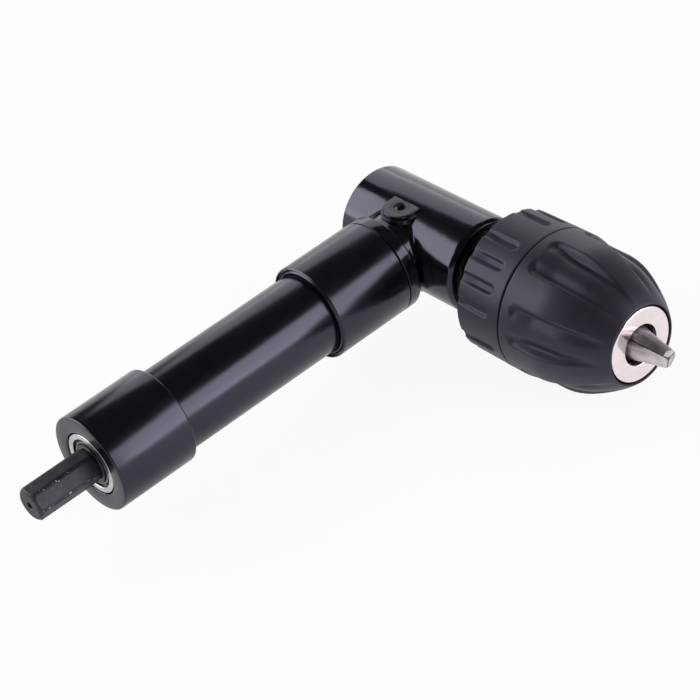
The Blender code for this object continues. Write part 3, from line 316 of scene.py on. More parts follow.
def makePaintedScrew(paintEdge):
    # the set screw was painted over with the casting; only its socket is bare, where the key has been
    paintColour, dullSteel, brightSteel, scuffSize = "0c0b0f", "8a888c", "d8d6da", 0.4
    material, tree, shader = newMaterial("paintedSetScrew")
    place = addNode(tree, "ShaderNodeTexCoord")
    height = addNode(tree, "ShaderNodeSeparateXYZ", [("Vector", place, "Object")])
    scuffs = addNode(tree, "ShaderNodeTexNoise", [("Vector", place, "Object")],
                     Scale=1 / (scuffSize * mm), Detail=3.0)
    paint = addNode(tree, "ShaderNodeMapRange", [("Value", height, "Z")])
    paint.inputs["From Min"].default_value = paintEdge - 0.1 * mm
    paint.inputs["From Max"].default_value = paintEdge
    bare = addNode(tree, "ShaderNodeMath", [(1, paint, "Result")], operation="SUBTRACT")
    bare.inputs[0].default_value = 1.0
    steel = addNode(tree, "ShaderNodeValToRGB", [("Fac", scuffs, "Fac")],
                    [(0.3, dullSteel), (0.7, brightSteel)])
    colour = addNode(tree, "ShaderNodeMix", [("Factor", paint, "Result"), (6, steel, "Color")],
                     data_type="RGBA")
    colour.inputs[7].default_value = linearColour(paintColour)
    tree.links.new(colour.outputs[2], shader.inputs["Base Color"])
    tree.links.new(bare.outputs["Value"], shader.inputs["Metallic"])
    shader.inputs["Roughness"].default_value = 0.28
    return material


def makeNylon(name, base, light, roughness, grainSize, grainHeight):
    # glass-filled nylon, moulded in a spark-eroded tool: a satin face with a fine even grain
    material, tree, shader = newMaterial(name)
    place = addNode(tree, "ShaderNodeTexCoord")
    grain = addNode(tree, "ShaderNodeTexNoise", [("Vector", place, "Object")],
                    Scale=1 / (grainSize * mm), Detail=3.0)
    cloud = addNode(tree, "ShaderNodeTexNoise", [("Vector", place, "Object")], Scale=1 / (6 * mm),
                    Detail=2.0)
    tint = addNode(tree, "ShaderNodeValToRGB", [("Fac", cloud, "Fac")], [(0.3, base), (0.7, light)])
    gloss = addNode(tree, "ShaderNodeMapRange", [("Value", grain, "Fac")])
    gloss.inputs["To Min"].default_value = roughness * 0.85
    gloss.inputs["To Max"].default_value = roughness * 1.15
    relief = addNode(tree, "ShaderNodeBump", [("Height", grain, "Fac")], Strength=1.0,
                     Distance=grainHeight * mm)
    tree.links.new(tint.outputs["Color"], shader.inputs["Base Color"])
    tree.links.new(gloss.outputs["Result"], shader.inputs["Roughness"])
    tree.links.new(relief.outputs["Normal"], shader.inputs["Normal"])
    shader.inputs["IOR"].default_value = 1.5
    shader.inputs["Specular Tint"].default_value = linearColour("e6dfff")
    return material


barrelEnamel = makeEnamel("blackGlossEnamelOnTube", "0b0a0e", "121116", 0.2, 5.0, 0.006)
castEnamel = makeEnamel("blackGlossEnamelOnCasting", "0b0a0e", "15141a", 0.14, 1.7, 0.02)
gripNylon = makeNylon("glassFilledBlackNylon", "201f25", "29282f", 0.46, 0.3, 0.006)
nickelPlate = makeSteel("polishedNickelPlate", "e6dadd", "f2e8ea", 0.14, 0.12, "X", 0.0006, 4.0)
jawSteel = makeSteel("groundHardenedToolSteel", "b9b2b8", "d9d2d7", 0.42, 0.15, "X", 0.002)
shankSteel = makeOxide("blackOxideShankSteel", "29282f", "393841", "b9b5b3", 0.45, 0.6, 0.012, 4.37)
collarSteel = makeSteel("blackOxideTurnedSteel", "1d1d20", "2a2a2e", 0.36, 0.2, "X", 0.004, 5.0)
bearingSteel = makeSteel("groundBearingSteel", "b4b4b6", "d2d2d4", 0.24, 0.15, "Y", 0.002)
# a darker copy of the ground bearing steel, used for the rear bearing's inner race
darkerBearingSteel = makeSteel("darkerGroundBearingSteel", "3b3a3d", "575659", 0.34, 0.15, "Y", 0.002)
shieldSteel = makeSteel("pressedShieldSteel", "5a5a5e", "78787c", 0.4, 0.2, "Y", 0.002)
gearSteel = makeSteel("cutGearSteel", "77777a", "97979a", 0.36, 0.2, "X", 0.004)
springSteel = makeSteel("bluedSpringSteel", "33343c", "4a4b55", 0.34, 0.2, "X", 0.002)
chuckSteel = makeSteel("turnedChuckSteel", "8b8b8d", "adadae", 0.33, 0.2, "X", 0.004)
bushBronze = makeSteel("sinteredBronze", "8a6a3e", "a98450", 0.5, 0.3, "X", 0.004, 0.6)
print("materials made:", len(bpy.data.materials))

# barrel, collar and shank
barrelSizes = {
    "tubeRadius": 10.78, "tubeStart": 28.7, "tubeEnd": 98.9, "tubeBore": 9.18,
    "sleeveRadius": 12.55, "sleeveStart": 16.5, "sleeveEnd": 38.5, "socketRadius": 10.98,
    "seamDepth": 0.15, "seamLength": 0.25, "mouthRadius": 10.83, "mouthBack": 0.25, "mouthLength": 1.5,
    "collarRadius": 12.55, "collarStart": 85.3, "collarEnd": 107.0, "pocketRadius": 8.3,
    "pocketFloor": 101.6, "shoulderRadius": 7.2, "socketFloor": 99.1, "edge": 0.45, "fineEdge": 0.08,
    # two ridges and a groove at the sleeve's mouth, as (behind the end, inside the outline)
    "rimSteps": [(0.35, 0.0), (0.02, 0.33), (0.02, 0.4), (0.85, 0.5), (0.85, 0.85), (0.5, 0.9),
                 (0.1, 1.3), (0.1, 1.4)],
}


def makeBarrel():
    s = barrelSizes
    tube = turnPiece("barrelTube", softProfile([
        (s["tubeStart"], s["tubeBore"]), (s["tubeStart"], s["tubeRadius"]),
        (s["tubeEnd"], s["tubeRadius"]), (s["tubeEnd"], s["tubeBore"])],
        s["edge"], loop=True), "barrel", segments=128)
    finishPiece(tube, "gear_head", "gloss_painted_steel", barrelEnamel, "barrel_tube")
    rim = s["sleeveEnd"]
    outer = s["sleeveRadius"]
    sleeve = turnPiece("barrelSleeve", softProfile([
        (s["sleeveStart"], s["socketRadius"]), (s["sleeveStart"], outer - s["seamDepth"]),
        (s["sleeveStart"] + s["seamLength"], outer),
        *[(rim - back, outer - inward) for back, inward in s["rimSteps"]],
        (rim - s["mouthBack"], s["mouthRadius"]), (rim - s["mouthLength"], s["socketRadius"])],
        s["fineEdge"], loop=True), "barrel", segments=128)
    finishPiece(sleeve, "gear_head", "gloss_painted_steel", barrelEnamel, "barrel_sleeve")
    collar = turnPiece("rearCollar", softProfile([
        (s["collarStart"], s["socketRadius"]), (s["collarStart"], s["collarRadius"]),
        (s["collarEnd"], s["collarRadius"]), (s["collarEnd"], s["pocketRadius"]),
        (s["pocketFloor"], s["pocketRadius"]), (s["pocketFloor"], s["shoulderRadius"]),
        (s["socketFloor"], s["shoulderRadius"]), (s["socketFloor"], s["socketRadius"])],
        s["edge"], loop=True), "barrel", segments=128)
    finishPiece(collar, "gear_head", "gloss_painted_steel", barrelEnamel, "rear_collar")


shankSizes = {
    "flats": 8.0, "hexStart": 107.2, "hexEnd": 124.75, "cornerRound": 1.6,
    "innerEnd": 11.9, "innerRadius": 3.0, "seatStart": 12.0, "seatRadius": 5.0,
    "journal": 3.8, "journalStart": 18.3, "rootSlope": 1.1, "rootLength": 0.8,
    "endRadius": 3.3, "endSlope": 0.9, "endLength": 1.3, "endRound": 0.35, "endBend": 9.0,
    "holeRadius": 0.85, "holeMouth": 1.1, "holeLip": 0.2, "holeDepth": 1.8, "holePoint": 0.4,
}


def makeShank():
    s = shankSizes
    half = s["flats"] / 2
    roundCentre = (half - s["cornerRound"]) / math.cos(math.pi / 6)
    turnOver = math.atan(roundCentre * math.sin(math.pi / 6) / half)
    widest = roundCentre + s["cornerRound"]
    rootSteps, endSteps = 4, 10
    profile = [(s["innerEnd"], s["innerRadius"]), (s["seatStart"], s["seatRadius"]),
               (s["journalStart"], s["seatRadius"]), (s["journalStart"], s["journal"]),
               (s["hexStart"], s["journal"])]
    profile += [(s["hexStart"] + s["rootLength"] * step / rootSteps, widest)
                for step in range(rootSteps + 1)]
    profile += [(s["hexEnd"] - s["endLength"] * (1 - step / endSteps), widest)
                for step in range(endSteps + 1)]
    profile += [(s["hexEnd"], s["holeMouth"]), (s["hexEnd"] - s["holeLip"], s["holeRadius"]),
                (s["hexEnd"] - s["holeDepth"], s["holeRadius"] - 0.05),
                (s["hexEnd"] - s["holeDepth"] - s["holePoint"], 0.0)]
    shank = turnPiece("hexShank", profile, "barrel", segments=180, smoothAngle=28)

    def hexagonAt(station, angle, radius):
        # a hexagon with rounded corners, turned to a cone at its end and at its root
        if station < s["hexStart"] - 0.01 or radius < half:
            return radius
        fromFlat = abs((angle % (math.pi / 3)) - math.pi / 6)
        wanted = half / math.cos(fromFlat)
        if fromFlat > turnOver:
            fromCorner = math.pi / 6 - fromFlat
            across = roundCentre * math.sin(fromCorner)
            wanted = roundCentre * math.cos(fromCorner) + math.sqrt(s["cornerRound"] ** 2 - across ** 2)
        toEnd = s["hexEnd"] - station
        endCone = s["endRadius"] + toEnd * s["endSlope"]
        wanted = min(wanted, endCone + s["endRound"] * (1 - math.exp(-toEnd * s["endBend"])))
        return min(wanted, half + (station - s["hexStart"]) * s["rootSlope"])

    reshapeRadius(shank, "barrel", hexagonAt)
    finishPiece(shank, "input", "black_oxide_steel", shankSteel, "input_shaft")


bearingSizes = {
    "start": 101.8, "end": 106.8, "bore": 4.0, "outer": 7.98, "outerLand": 6.5, "innerLand": 5.05,
    "shieldFace": 106.45, "shieldBack": 104.9, "rim": 0.25, "gap": 0.2, "outerGap": 0.65,
    "faceLength": 0.1, "faceDepth": 0.15, "outerEdge": 0.3, "innerEdge": 0.12, "shieldEdge": 0.05,
    # the groove in the inner race's face, as (behind the face, inside the land)
    "groove": [(0.0, 0.35), (0.12, 0.4), (0.12, 0.55), (0.0, 0.6)],
}


def makeRearBearing():
    s = bearingSizes
    outerRace = turnPiece("bearingOuterRace", softProfile([
        (s["start"], s["outerLand"]), (s["start"], s["outer"]), (s["end"], s["outer"]),
        (s["end"], s["outerLand"])], s["outerEdge"], 4, loop=True), "barrel")
    finishPiece(outerRace, "gear_head", "ground_bearing_steel", bearingSteel, "rear_bearing_outer_race")
    innerRace = turnPiece("bearingInnerRace", softProfile([
        (s["start"], s["bore"]), (s["start"], s["innerLand"]), (s["end"], s["innerLand"]),
        *[(s["end"] - behind, s["innerLand"] - inside) for behind, inside in s["groove"]],
        (s["end"], s["bore"])], s["innerEdge"], loop=True), "barrel")
    # the inner race takes the darker copy of the bearing steel
    finishPiece(innerRace, "input", "ground_bearing_steel", darkerBearingSteel, "rear_bearing_inner_race")
    shield = turnPiece("bearingShield", softProfile([
        (s["shieldBack"], s["innerLand"] + s["gap"]), (s["shieldBack"], s["outerLand"] - s["gap"]),
        (s["shieldBack"] + s["rim"], s["outerLand"] - s["gap"]),
        (s["shieldBack"] + s["rim"], s["outerLand"] - s["outerGap"]),
        (s["shieldFace"] - s["faceLength"], s["outerLand"] - s["outerGap"]),
        (s["shieldFace"], s["outerLand"] - s["outerGap"] - s["faceDepth"]),
        (s["shieldFace"], s["innerLand"] + s["gap"])], s["shieldEdge"], loop=True), "barrel")
    finishPiece(shield, "gear_head", "pressed_shield_steel", shieldSteel, "rear_bearing_outer_shield")


makeBarrel()
makeShank()
makeRearBearing()
print("barrel, shank and rear bearing made")

# gear head casting
headSizes = {
    "rear": -16.6, "front": 22.7, "radius": 12.45, "rearEdge": 0.6, "frontEdge": 1.0,
    "frontShare": 0.7, "pocket": 11.2, "pocketDepth": 3.0,
    "neckStart": 9.0, "neckRadius": 11.0, "neckEnd": 12.8, "flare": 0.9, "castEdge": 0.4,
    "bandRadius": 12.55, "bandEnd": 16.3, "bandLip": 0.12,
    "spigotRadius": 10.78, "spigotEnd": 28.5, "spigotBore": 9.7, "boreFloor": 18.3,
    "footBottom": 8.9, "footEdge": 0.2, "capBottom": 9.0, "capEdge": 0.25,
    "lugX": 0.3, "lugY": -5.8, "lugRadius": 4.4, "lugBack": -3.3, "lugTop": 12.35,
    "lugStep": 0.9, "stepWidth": 0.6, "portRadius": 2.45, "portDepth": 3.2,
}


def makeNeckSkin():
    # the neck with a cast fillet that runs out onto the round head
    s = headSizes
    rows, rowStep = 8, 0.2
    clearSelection()
    bpy.ops.mesh.primitive_circle_add(vertices=128, radius=s["neckRadius"] * mm, fill_type="NOTHING",
                                      location=crossing, rotation=lines["barrel"]["turn"])
    neck = bpy.context.active_object
    bpy.ops.object.mode_set(mode="EDIT")
    bpy.ops.mesh.select_all(action="SELECT")
    for _ in range(rows):
        bpy.ops.mesh.extrude_region_move(TRANSFORM_OT_translate={"value": (0, -rowStep * mm, 0)})
    bpy.ops.object.mode_set(mode="OBJECT")
    selectOnly(neck)
    bpy.ops.object.transform_apply(location=True, rotation=True, scale=True)
    for vertex in neck.data.vertices:
        offset = (vertex.co - crossing) / mm
        share = min(1.0, max(0.0, -offset.y / (rowStep * rows)))
        angle = math.atan2(offset.z, offset.x)

        def onHead(radius):
            height = min(abs(radius * math.sin(angle)), s["radius"] - 0.05)
            return math.sqrt(s["radius"] ** 2 - height ** 2)

        wide, narrow = s["neckRadius"] + s["flare"], s["neckRadius"]
        first = Vector((wide, onHead(wide) - 0.02))
        corner = Vector((narrow, onHead(narrow)))
        last = Vector((narrow, min(onHead(narrow) + s["flare"], s["neckEnd"] - 0.1)))
        point = first * (1 - share) ** 2 + corner * 2 * share * (1 - share) + last * share ** 2
        vertex.co = crossing + Vector((point.x * math.cos(angle), -point.y,
                                       point.x * math.sin(angle))) * mm
    return settle(neck, "neckFillet")


def makeLug(centreX, centreY, radius, back, bottom, top, edge):
    # a round-nosed block: half a circle, two straight sides and a square back
    clearSelection()
    bpy.ops.mesh.primitive_circle_add(
        vertices=64, radius=radius * mm, fill_type="NOTHING",
        location=crossing + Vector((centreX, centreY, bottom)) * mm)
    lug = bpy.context.active_object
    bpy.ops.object.transform_apply(location=True, rotation=True, scale=True)
    selectVertices(lug, lambda place: place.y > centreY + 0.001)
    bpy.ops.mesh.delete(type="VERT")
    selectVertices(lug, lambda place: abs(place.y - centreY) < 0.001)
    bpy.ops.mesh.extrude_region_move(TRANSFORM_OT_translate={"value": (0, (back - centreY) * mm, 0)})
    bpy.ops.mesh.select_all(action="SELECT")
    bpy.ops.mesh.edge_face_add()
    bpy.ops.mesh.extrude_region_move(TRANSFORM_OT_translate={"value": (0, 0, (top - bottom) * mm)})
    bpy.ops.object.mode_set(mode="OBJECT")
    settle(lug, "lug")
    applyModifier(lug, "BEVEL", width=edge * mm, segments=4, limit_method="ANGLE",
                  angle_limit=math.radians(40))
    return lug


def cutHole(piece, centre, radius, top, depth, line="upright"):
    clearSelection()
    bpy.ops.mesh.primitive_cylinder_add(
        vertices=64, radius=radius * mm, depth=depth * 2 * mm,
        location=centre + lines[line]["along"] * top * mm,
        rotation=lines[line]["turn"])
    cutter = bpy.context.active_object
    applyModifier(piece, "BOOLEAN", operation="DIFFERENCE", solver="EXACT", object=cutter)
    bpy.data.objects.remove(cutter)


def makeHead():
    s = headSizes
    outline = softProfile([
        (s["rear"], 0.0), (s["rear"], s["radius"]), (s["front"] - s["frontEdge"], s["radius"]),
        (s["front"], s["radius"] - s["frontEdge"] * s["frontShare"]), (s["front"], s["pocket"]),
        (s["front"] - s["pocketDepth"], s["pocket"])], s["rearEdge"], 4)
    # stations on both sides of the port keep its cut local; they go in after the rear corner's points
    underLug = [(s["lugX"] + side * (s["portRadius"] + 0.2), s["radius"]) for side in (-1, 1)]
    rearPoints = 6
    outline[rearPoints:rearPoints] = underLug
    drum = turnPiece("headDrum", outline, "chuck", segments=160)
    neck = turnPiece("neck", softProfile([
        (s["neckStart"], s["neckRadius"]), (s["neckEnd"] - 0.2, s["neckRadius"]),
        (s["neckEnd"] + 0.3, s["bandRadius"]), (s["bandEnd"] - 0.1, s["bandRadius"]),
        (s["bandEnd"], s["bandRadius"] - s["bandLip"]), (s["bandEnd"], s["spigotRadius"]),
        (s["spigotEnd"], s["spigotRadius"]), (s["spigotEnd"], s["spigotBore"]),
        (s["boreFloor"], s["spigotBore"])], s["castEdge"], 4),
        "barrel", segments=160)
    fillet = makeNeckSkin()
    foot = makeLug(s["lugX"], s["lugY"], s["lugRadius"] + s["stepWidth"], s["lugBack"],
                   s["footBottom"], s["lugTop"] - s["lugStep"], s["footEdge"])
    cap = makeLug(s["lugX"], s["lugY"], s["lugRadius"], s["lugBack"], s["capBottom"], s["lugTop"],
                  s["capEdge"])
    portCentre = crossing + Vector((s["lugX"], s["lugY"], 0)) * mm
    for part in (foot, cap, drum):
        cutHole(part, portCentre, s["portRadius"], s["lugTop"], s["portDepth"])
    head = joinPieces("headCasting", [drum, neck, fillet, foot, cap])
    finishPiece(head, "gear_head", "gloss_painted_casting", castEnamel, "gear_head_housing")


screwSizes = {
    "radius": 2.43, "top": 12.33, "length": 3.0, "edge": 0.06, "pitch": 0.5, "threadDepth": 0.28,
    "endChamfer": 0.4, "socket": 1.6, "socketDepth": 1.1, "socketMouth": 1.7, "socketPoint": 0.4,
    "mouthDepth": 0.15, "paintDepth": 0.2,
}


def makeGreaseScrew():
    s = screwSizes
    centre = crossing + Vector((headSizes["lugX"], headSizes["lugY"], 0)) * mm
    end, pitch = s["top"] - s["length"], s["pitch"]
    profile = [(end, 0.0), (end, s["radius"] - s["endChamfer"])]
    turns = int((s["length"] - 2 * s["endChamfer"]) / pitch)
    for turn in range(turns):
        start = end + s["endChamfer"] + turn * pitch
        profile += [(start, s["radius"] - s["threadDepth"]), (start + pitch / 2, s["radius"])]
    profile += [(s["top"] - s["edge"], s["radius"]), (s["top"], s["radius"] - s["edge"]),
                (s["top"], s["socketMouth"]), (s["top"] - s["mouthDepth"], s["socket"]),
                (s["top"] - s["socketDepth"], s["socket"]),
                (s["top"] - s["socketDepth"] - s["socketPoint"], 0.0)]
    screw = turnPiece("greaseScrew", profile, "upright", centre, 72, 25)
    for vertex in screw.data.vertices:
        offset = (vertex.co - centre) / mm
        radius = math.hypot(offset.x, offset.y)
        if 0.5 < radius < s["socket"] + 0.05 and offset.z > s["top"] - s["socketDepth"] - 0.01:
            angle = math.atan2(offset.y, offset.x) % (math.pi / 3) - math.pi / 6
            wanted = s["socket"] * math.cos(math.pi / 6) / math.cos(angle)
            vertex.co.x = centre.x + offset.x / radius * wanted * mm
            vertex.co.y = centre.y + offset.y / radius * wanted * mm
    finishPiece(screw, "gear_head", "black_oxide_steel",
                makePaintedScrew(centre.z + (s["top"] - s["paintDepth"]) * mm), "grease_screw")


makeHead()
makeGreaseScrew()
print("gear head made")

# chuck: collar, rings, sleeve and jaws
collarSizes = {
    "rear": 21.1, "flangeRear": 23.3, "flangeFront": 29.7, "flange": 9.6, "hub": 6.2, "bore": 4.9,
    "edge": 0.45,
}


def makeSpindleCollar():
    s = collarSizes
    collar = turnPiece("spindleCollar", softProfile([
        (s["rear"], s["bore"]), (s["rear"], s["hub"]), (s["flangeRear"], s["hub"]),
        (s["flangeRear"], s["flange"]), (s["flangeFront"], s["flange"]),
        (s["flangeFront"], s["bore"])], s["edge"], loop=True), "chuck")
    finishPiece(collar, "spindle", "black_oxide_steel", collarSteel, "spindle_collar")


ringSizes = {
    "rear": 30.9, "front": 44.6, "rearRadius": 18.08, "frontRadius": 18.29, "edge": 0.25, "web": 3.4,
    "webBore": 12.2, "inner": 15.88, "slotWidth": 3.1, "slotDepth": 0.8, "slotFront": 41.7,
    "wall": 1.0, "rearDepth": 0.35, "deepening": 5.0,
    "groups": 4, "perGroup": 4, "groupAngle": 135.0, "pitch": 18.9,
}


def makeRearRing():
    s = ringSizes
    steps = 46
    outline = [(s["rear"], s["webBore"]), (s["rear"], s["rearRadius"] - s["edge"] * 2)]
    outline += roundedCorner((s["rear"], s["rearRadius"]), (s["rear"], s["inner"]),
                             (s["front"], s["rearRadius"]), s["edge"])
    for step in range(1, steps):
        share = step / steps
        station = s["rear"] + s["edge"] + (s["front"] - s["rear"] - 2 * s["edge"]) * share
        outline.append((station, s["rearRadius"] + (s["frontRadius"] - s["rearRadius"]) * share))
    outline += roundedCorner((s["front"], s["frontRadius"]), (s["rear"], s["frontRadius"]),
                             (s["front"], s["inner"]), s["edge"])
    outline += [(s["front"], s["inner"]), (s["rear"] + s["web"], s["inner"]),
                (s["rear"] + s["web"], s["webBore"]), (s["rear"], s["webBore"])]
    ring = turnPiece("rearGripRing", outline, "chuck", segments=576, smoothAngle=50)
    halfWidth = s["slotWidth"] / 2
    centres = [math.radians(s["groupAngle"] + 360 / s["groups"] * group
                            + (place - (s["perGroup"] - 1) / 2) * s["pitch"])
               for group in range(s["groups"]) for place in range(s["perGroup"])]

    def slotted(station, angle, radius):
        if radius < s["inner"] + 0.5:
            return radius
        depth = 0.0
        for centre in centres:
            across = math.remainder(angle - centre, math.tau) * s["rearRadius"]
            if abs(across) > halfWidth:
                continue
            ahead = max(0.0, station - (s["slotFront"] - halfWidth))
            inside = halfWidth - math.hypot(across, ahead)
            share = smoothShare((station - s["rear"]) / s["deepening"])
            full = s["rearDepth"] + (s["slotDepth"] - s["rearDepth"]) * share
            depth = max(depth, full * smoothShare(inside / s["wall"]))
        return radius - depth

    reshapeRadius(ring, "chuck", slotted)
    finishPiece(ring, "spindle", "moulded_grip_nylon", gripNylon, "rear_grip_ring")


sleeveSizes = {
    "rear": 45.0, "front": 73.5, "radius": 18.29, "edge": 0.25, "landEnd": 55.0, "landMeet": 70.0,
    "floorRadius": 18.09, "floorStart": 44.6, "floorSlope": 0.11, "tangent": 60.0,
    "flutes": 6, "fluteStart": 47.4, "fluteAngle": 102.7, "halfAngle": 17.5, "wallAngle": 4.6,
    "corner": 1.4, "sideDepth": 0.75, "channel": 1.2, "rearRamp": 7.0, "fadeStart": 65.0,
    "noseBore": 9.97, "noseLip": 0.35, "inner": 15.1, "innerEnd": 60.4,
    "bodyBore": 12.5, "coneEnd": 63.8, "noseSeat": 70.6, "lipBack": 0.25, "lipRound": 0.08,
    "boreChamfer": 0.12, "boreEdge": 0.06,
}


def noseArc():
    # radius and centre of the arc from the floors' cone, which it leaves smoothly, to the nose's lip
    s = sleeveSizes
    tilt = math.atan(s["floorSlope"])
    drop = (s["tangent"] - s["floorStart"]) * s["floorSlope"]
    start = Vector((s["tangent"], s["floorRadius"] - drop))
    span = Vector((s["front"], s["noseBore"] + s["noseLip"])) - start
    inward = Vector((-math.sin(tilt), -math.cos(tilt)))
    radius = span.length_squared / (2 * span.dot(inward))
    return radius, start + inward * radius


noseRadius, noseCentre = noseArc()


def noseOutline(station):
    s = sleeveSizes
    if station <= s["tangent"]:
        return s["floorRadius"] - (station - s["floorStart"]) * s["floorSlope"]
    return noseCentre.y + math.sqrt(max(0.0, noseRadius ** 2 - (station - noseCentre.x) ** 2))


def landOutline(station):
    # straight, then a cubic that runs smoothly into the nose
    s = sleeveSizes
    if station <= s["landEnd"]:
        return s["radius"]
    if station >= s["landMeet"]:
        return noseOutline(station)
    length = s["landMeet"] - s["landEnd"]
    share = (station - s["landEnd"]) / length
    met = noseOutline(s["landMeet"])
    slope = (noseCentre.x - s["landMeet"]) / (met - noseCentre.y)
    return (s["radius"] + (met - s["radius"]) * share ** 2 * (3 - 2 * share)
            + slope * length * share ** 2 * (share - 1))


def makeGripSleeve():
    s = sleeveSizes
    outline = [(s["rear"], s["inner"]), (s["rear"], s["radius"] - s["edge"] * 2)]
    outline += roundedCorner((s["rear"], s["radius"]), (s["rear"], s["inner"]),
                             (s["front"], s["radius"]), s["edge"])
    steps = 84
    for step in range(1, steps + 1):
        length = s["front"] - s["lipBack"] - s["rear"] - s["edge"]
        station = s["rear"] + s["edge"] + length * (step / steps)
        outline.append((station, landOutline(station)))
    nearLip = s["front"] - s["lipRound"]
    outline += [(nearLip, landOutline(nearLip)), (s["front"], landOutline(s["front"]) - s["lipRound"]),
                (s["front"], s["noseBore"] + s["boreEdge"]),
                (s["front"] - s["boreChamfer"], s["noseBore"]),
                (s["noseSeat"], s["noseBore"]), (s["coneEnd"], s["bodyBore"]),
                (s["innerEnd"], s["bodyBore"]), (s["innerEnd"], s["inner"]), (s["rear"], s["inner"])]
    sleeve = turnPiece("gripSleeve", outline, "chuck", segments=360, smoothAngle=50)
    half, wall = math.radians(s["halfAngle"]), math.radians(s["wallAngle"])

    def fluted(station, angle, radius):
        full = landOutline(station)
        if abs(radius - full) > 0.02 or station < s["fluteStart"] - 1:
            return radius
        across = abs(math.remainder(angle - math.radians(s["fluteAngle"]), math.tau / s["flutes"]))
        # the panel starts level in the middle and lies deepest in a channel along its side walls
        opening = smoothShare((station - s["fluteStart"]) / s["rearRamp"])
        fading = 1 - smoothShare((station - s["fadeStart"]) / (s["front"] - s["fadeStart"]))
        panel = full + (min(full, noseOutline(station)) - full) * opening
        inside = (half - across) / wall
        floor = panel - s["sideDepth"] * fading * math.exp(-(max(0.0, inside - 1) / s["channel"]) ** 2)
        behind = (station - s["fluteStart"]) / (s["radius"] * wall)
        toCorner = math.hypot(max(0.0, s["corner"] - inside), max(0.0, s["corner"] - behind))
        return full + (floor - full) * smoothShare(s["corner"] - toCorner)

    reshapeRadius(sleeve, "chuck", fluted)
    finishPiece(sleeve, "grip", "moulded_grip_nylon", gripNylon, "grip_sleeve")


noseSizes = {
    "front": 73.5, "radius": 9.62, "round": 0.7, "hole": 5.23, "holeRound": 0.25, "lip": 72.4,
    "seat": 70.6, "bodyNose": 8.1,
}


def makeNoseRing():
    s = noseSizes
    outline = [(s["seat"], s["bodyNose"]), (s["seat"], s["radius"])]
    outline += roundedCorner((s["front"], s["radius"]), (s["seat"], s["radius"]),
                             (s["front"], s["hole"]), s["round"], 8)
    outline += roundedCorner((s["front"], s["hole"]), (s["front"], s["radius"]),
                             (s["lip"], s["hole"]), s["holeRound"], 4)
    outline += [(s["lip"], s["hole"]), (s["lip"], s["bodyNose"]), (s["seat"], s["bodyNose"])]
    ring = turnPiece("noseRing", outline, "chuck", segments=160, smoothAngle=40)
    finishPiece(ring, "spindle", "polished_nickel_plate", nickelPlate, "nose_ring")


jawSizes = {
    "radius": 3.0, "tilt": 15.5, "angle": 71.0, "length": 29.9, "spare": 3.0,
    "tip": 82.0, "tipRadius": 2.3, "faceGap": 0.13, "edgeFlat": 0.4, "chamfer": 0.7, "softEdge": 0.08,
    "coneStart": 71.0, "coneSlope": 0.19, "coneStep": 0.5,
}


def makeJaws():
    # one jaw is cut from a bar, and the other two are turned copies of it
    s = jawSizes
    tilt = math.radians(s["tilt"])
    crossStation = s["tip"] - (s["radius"] / math.cos(tilt) - s["tipRadius"]) / math.tan(tilt)
    turn = Matrix.Rotation(math.radians(s["angle"]), 4, "X")
    forward = turn @ Vector((math.cos(tilt), -math.sin(tilt), 0))
    axisForward = Vector((1, 0, 0))
    outward = turn @ Vector((0, 1, 0))
    side = turn @ Vector((0, 0, 1))
    crossPoint = crossing + Vector((crossStation, 0, 0)) * mm
    back = (s["tip"] - s["length"] * math.cos(tilt) - crossStation) / math.cos(tilt)
    front = (s["tip"] - crossStation) / math.cos(tilt) + s["spare"]
    clearSelection()
    bpy.ops.mesh.primitive_cylinder_add(vertices=96, radius=s["radius"] * mm, depth=(front - back) * mm)
    bar = bpy.context.active_object
    bar.matrix_world = (Matrix.Translation(crossPoint + forward * (front + back) / 2 * mm)
                        @ forward.to_track_quat("Z", "Y").to_matrix().to_4x4())
    bpy.ops.object.transform_apply(location=True, rotation=True, scale=True)
    tipPoint = crossing + Vector((s["tip"], 0, 0)) * mm
    cuts = [(tipPoint, axisForward)]
    for sign in (-1, 1):
        normal = side * sign * math.cos(math.pi / 3) - outward * math.sin(math.pi / 3)
        cuts.append((crossPoint - normal * s["faceGap"] * mm, normal))
    cuts.append((crossPoint + outward * s["edgeFlat"] * mm, -outward))
    cuts.append((tipPoint + outward * (s["tipRadius"] - s["chamfer"] / 2) * mm,
                 (axisForward + outward).normalized()))
    bpy.ops.object.mode_set(mode="EDIT")
    for point, normal in cuts:
        bpy.ops.mesh.select_all(action="SELECT")
        bpy.ops.mesh.bisect(plane_co=point, plane_no=normal, use_fill=True, clear_outer=True)
    for station in (s["coneStart"] - s["coneStep"], s["coneStart"]):
        bpy.ops.mesh.select_all(action="SELECT")
        bpy.ops.mesh.bisect(plane_co=crossing + axisForward * station * mm, plane_no=axisForward)
    bpy.ops.object.mode_set(mode="OBJECT")

    def groundCone(station, angle, radius):
        # the jaws' fronts are ground together to one slim cone
        if station < s["coneStart"] - 0.01:
            return radius
        return min(radius, s["tipRadius"] + (s["tip"] - station) * s["coneSlope"])

    reshapeRadius(bar, "chuck", groundCone)
    settle(bar, "jaw1")
    applyModifier(bar, "BEVEL", width=s["softEdge"] * mm, segments=2, limit_method="ANGLE",
                  angle_limit=math.radians(30))
    jaws = [bar]
    for number in (1, 2):
        copy = bar.copy()
        copy.data = bar.data.copy()
        bpy.context.scene.collection.objects.link(copy)
        spin = (Matrix.Translation(crossing) @ Matrix.Rotation(math.tau / 3 * number, 4, "X")
                @ Matrix.Translation(-crossing))
        copy.data.transform(spin)
        copy.name = copy.data.name = f"jaw{number + 1}"
        jaws.append(copy)
    for number, jaw in enumerate(jaws, 1):
        selectOnly(jaw)
        bpy.ops.object.shade_smooth_by_angle(angle=math.radians(30))
        finishPiece(jaw, f"jaw_{number}", "hardened_jaw_steel", jawSteel, f"jaw_{number}")


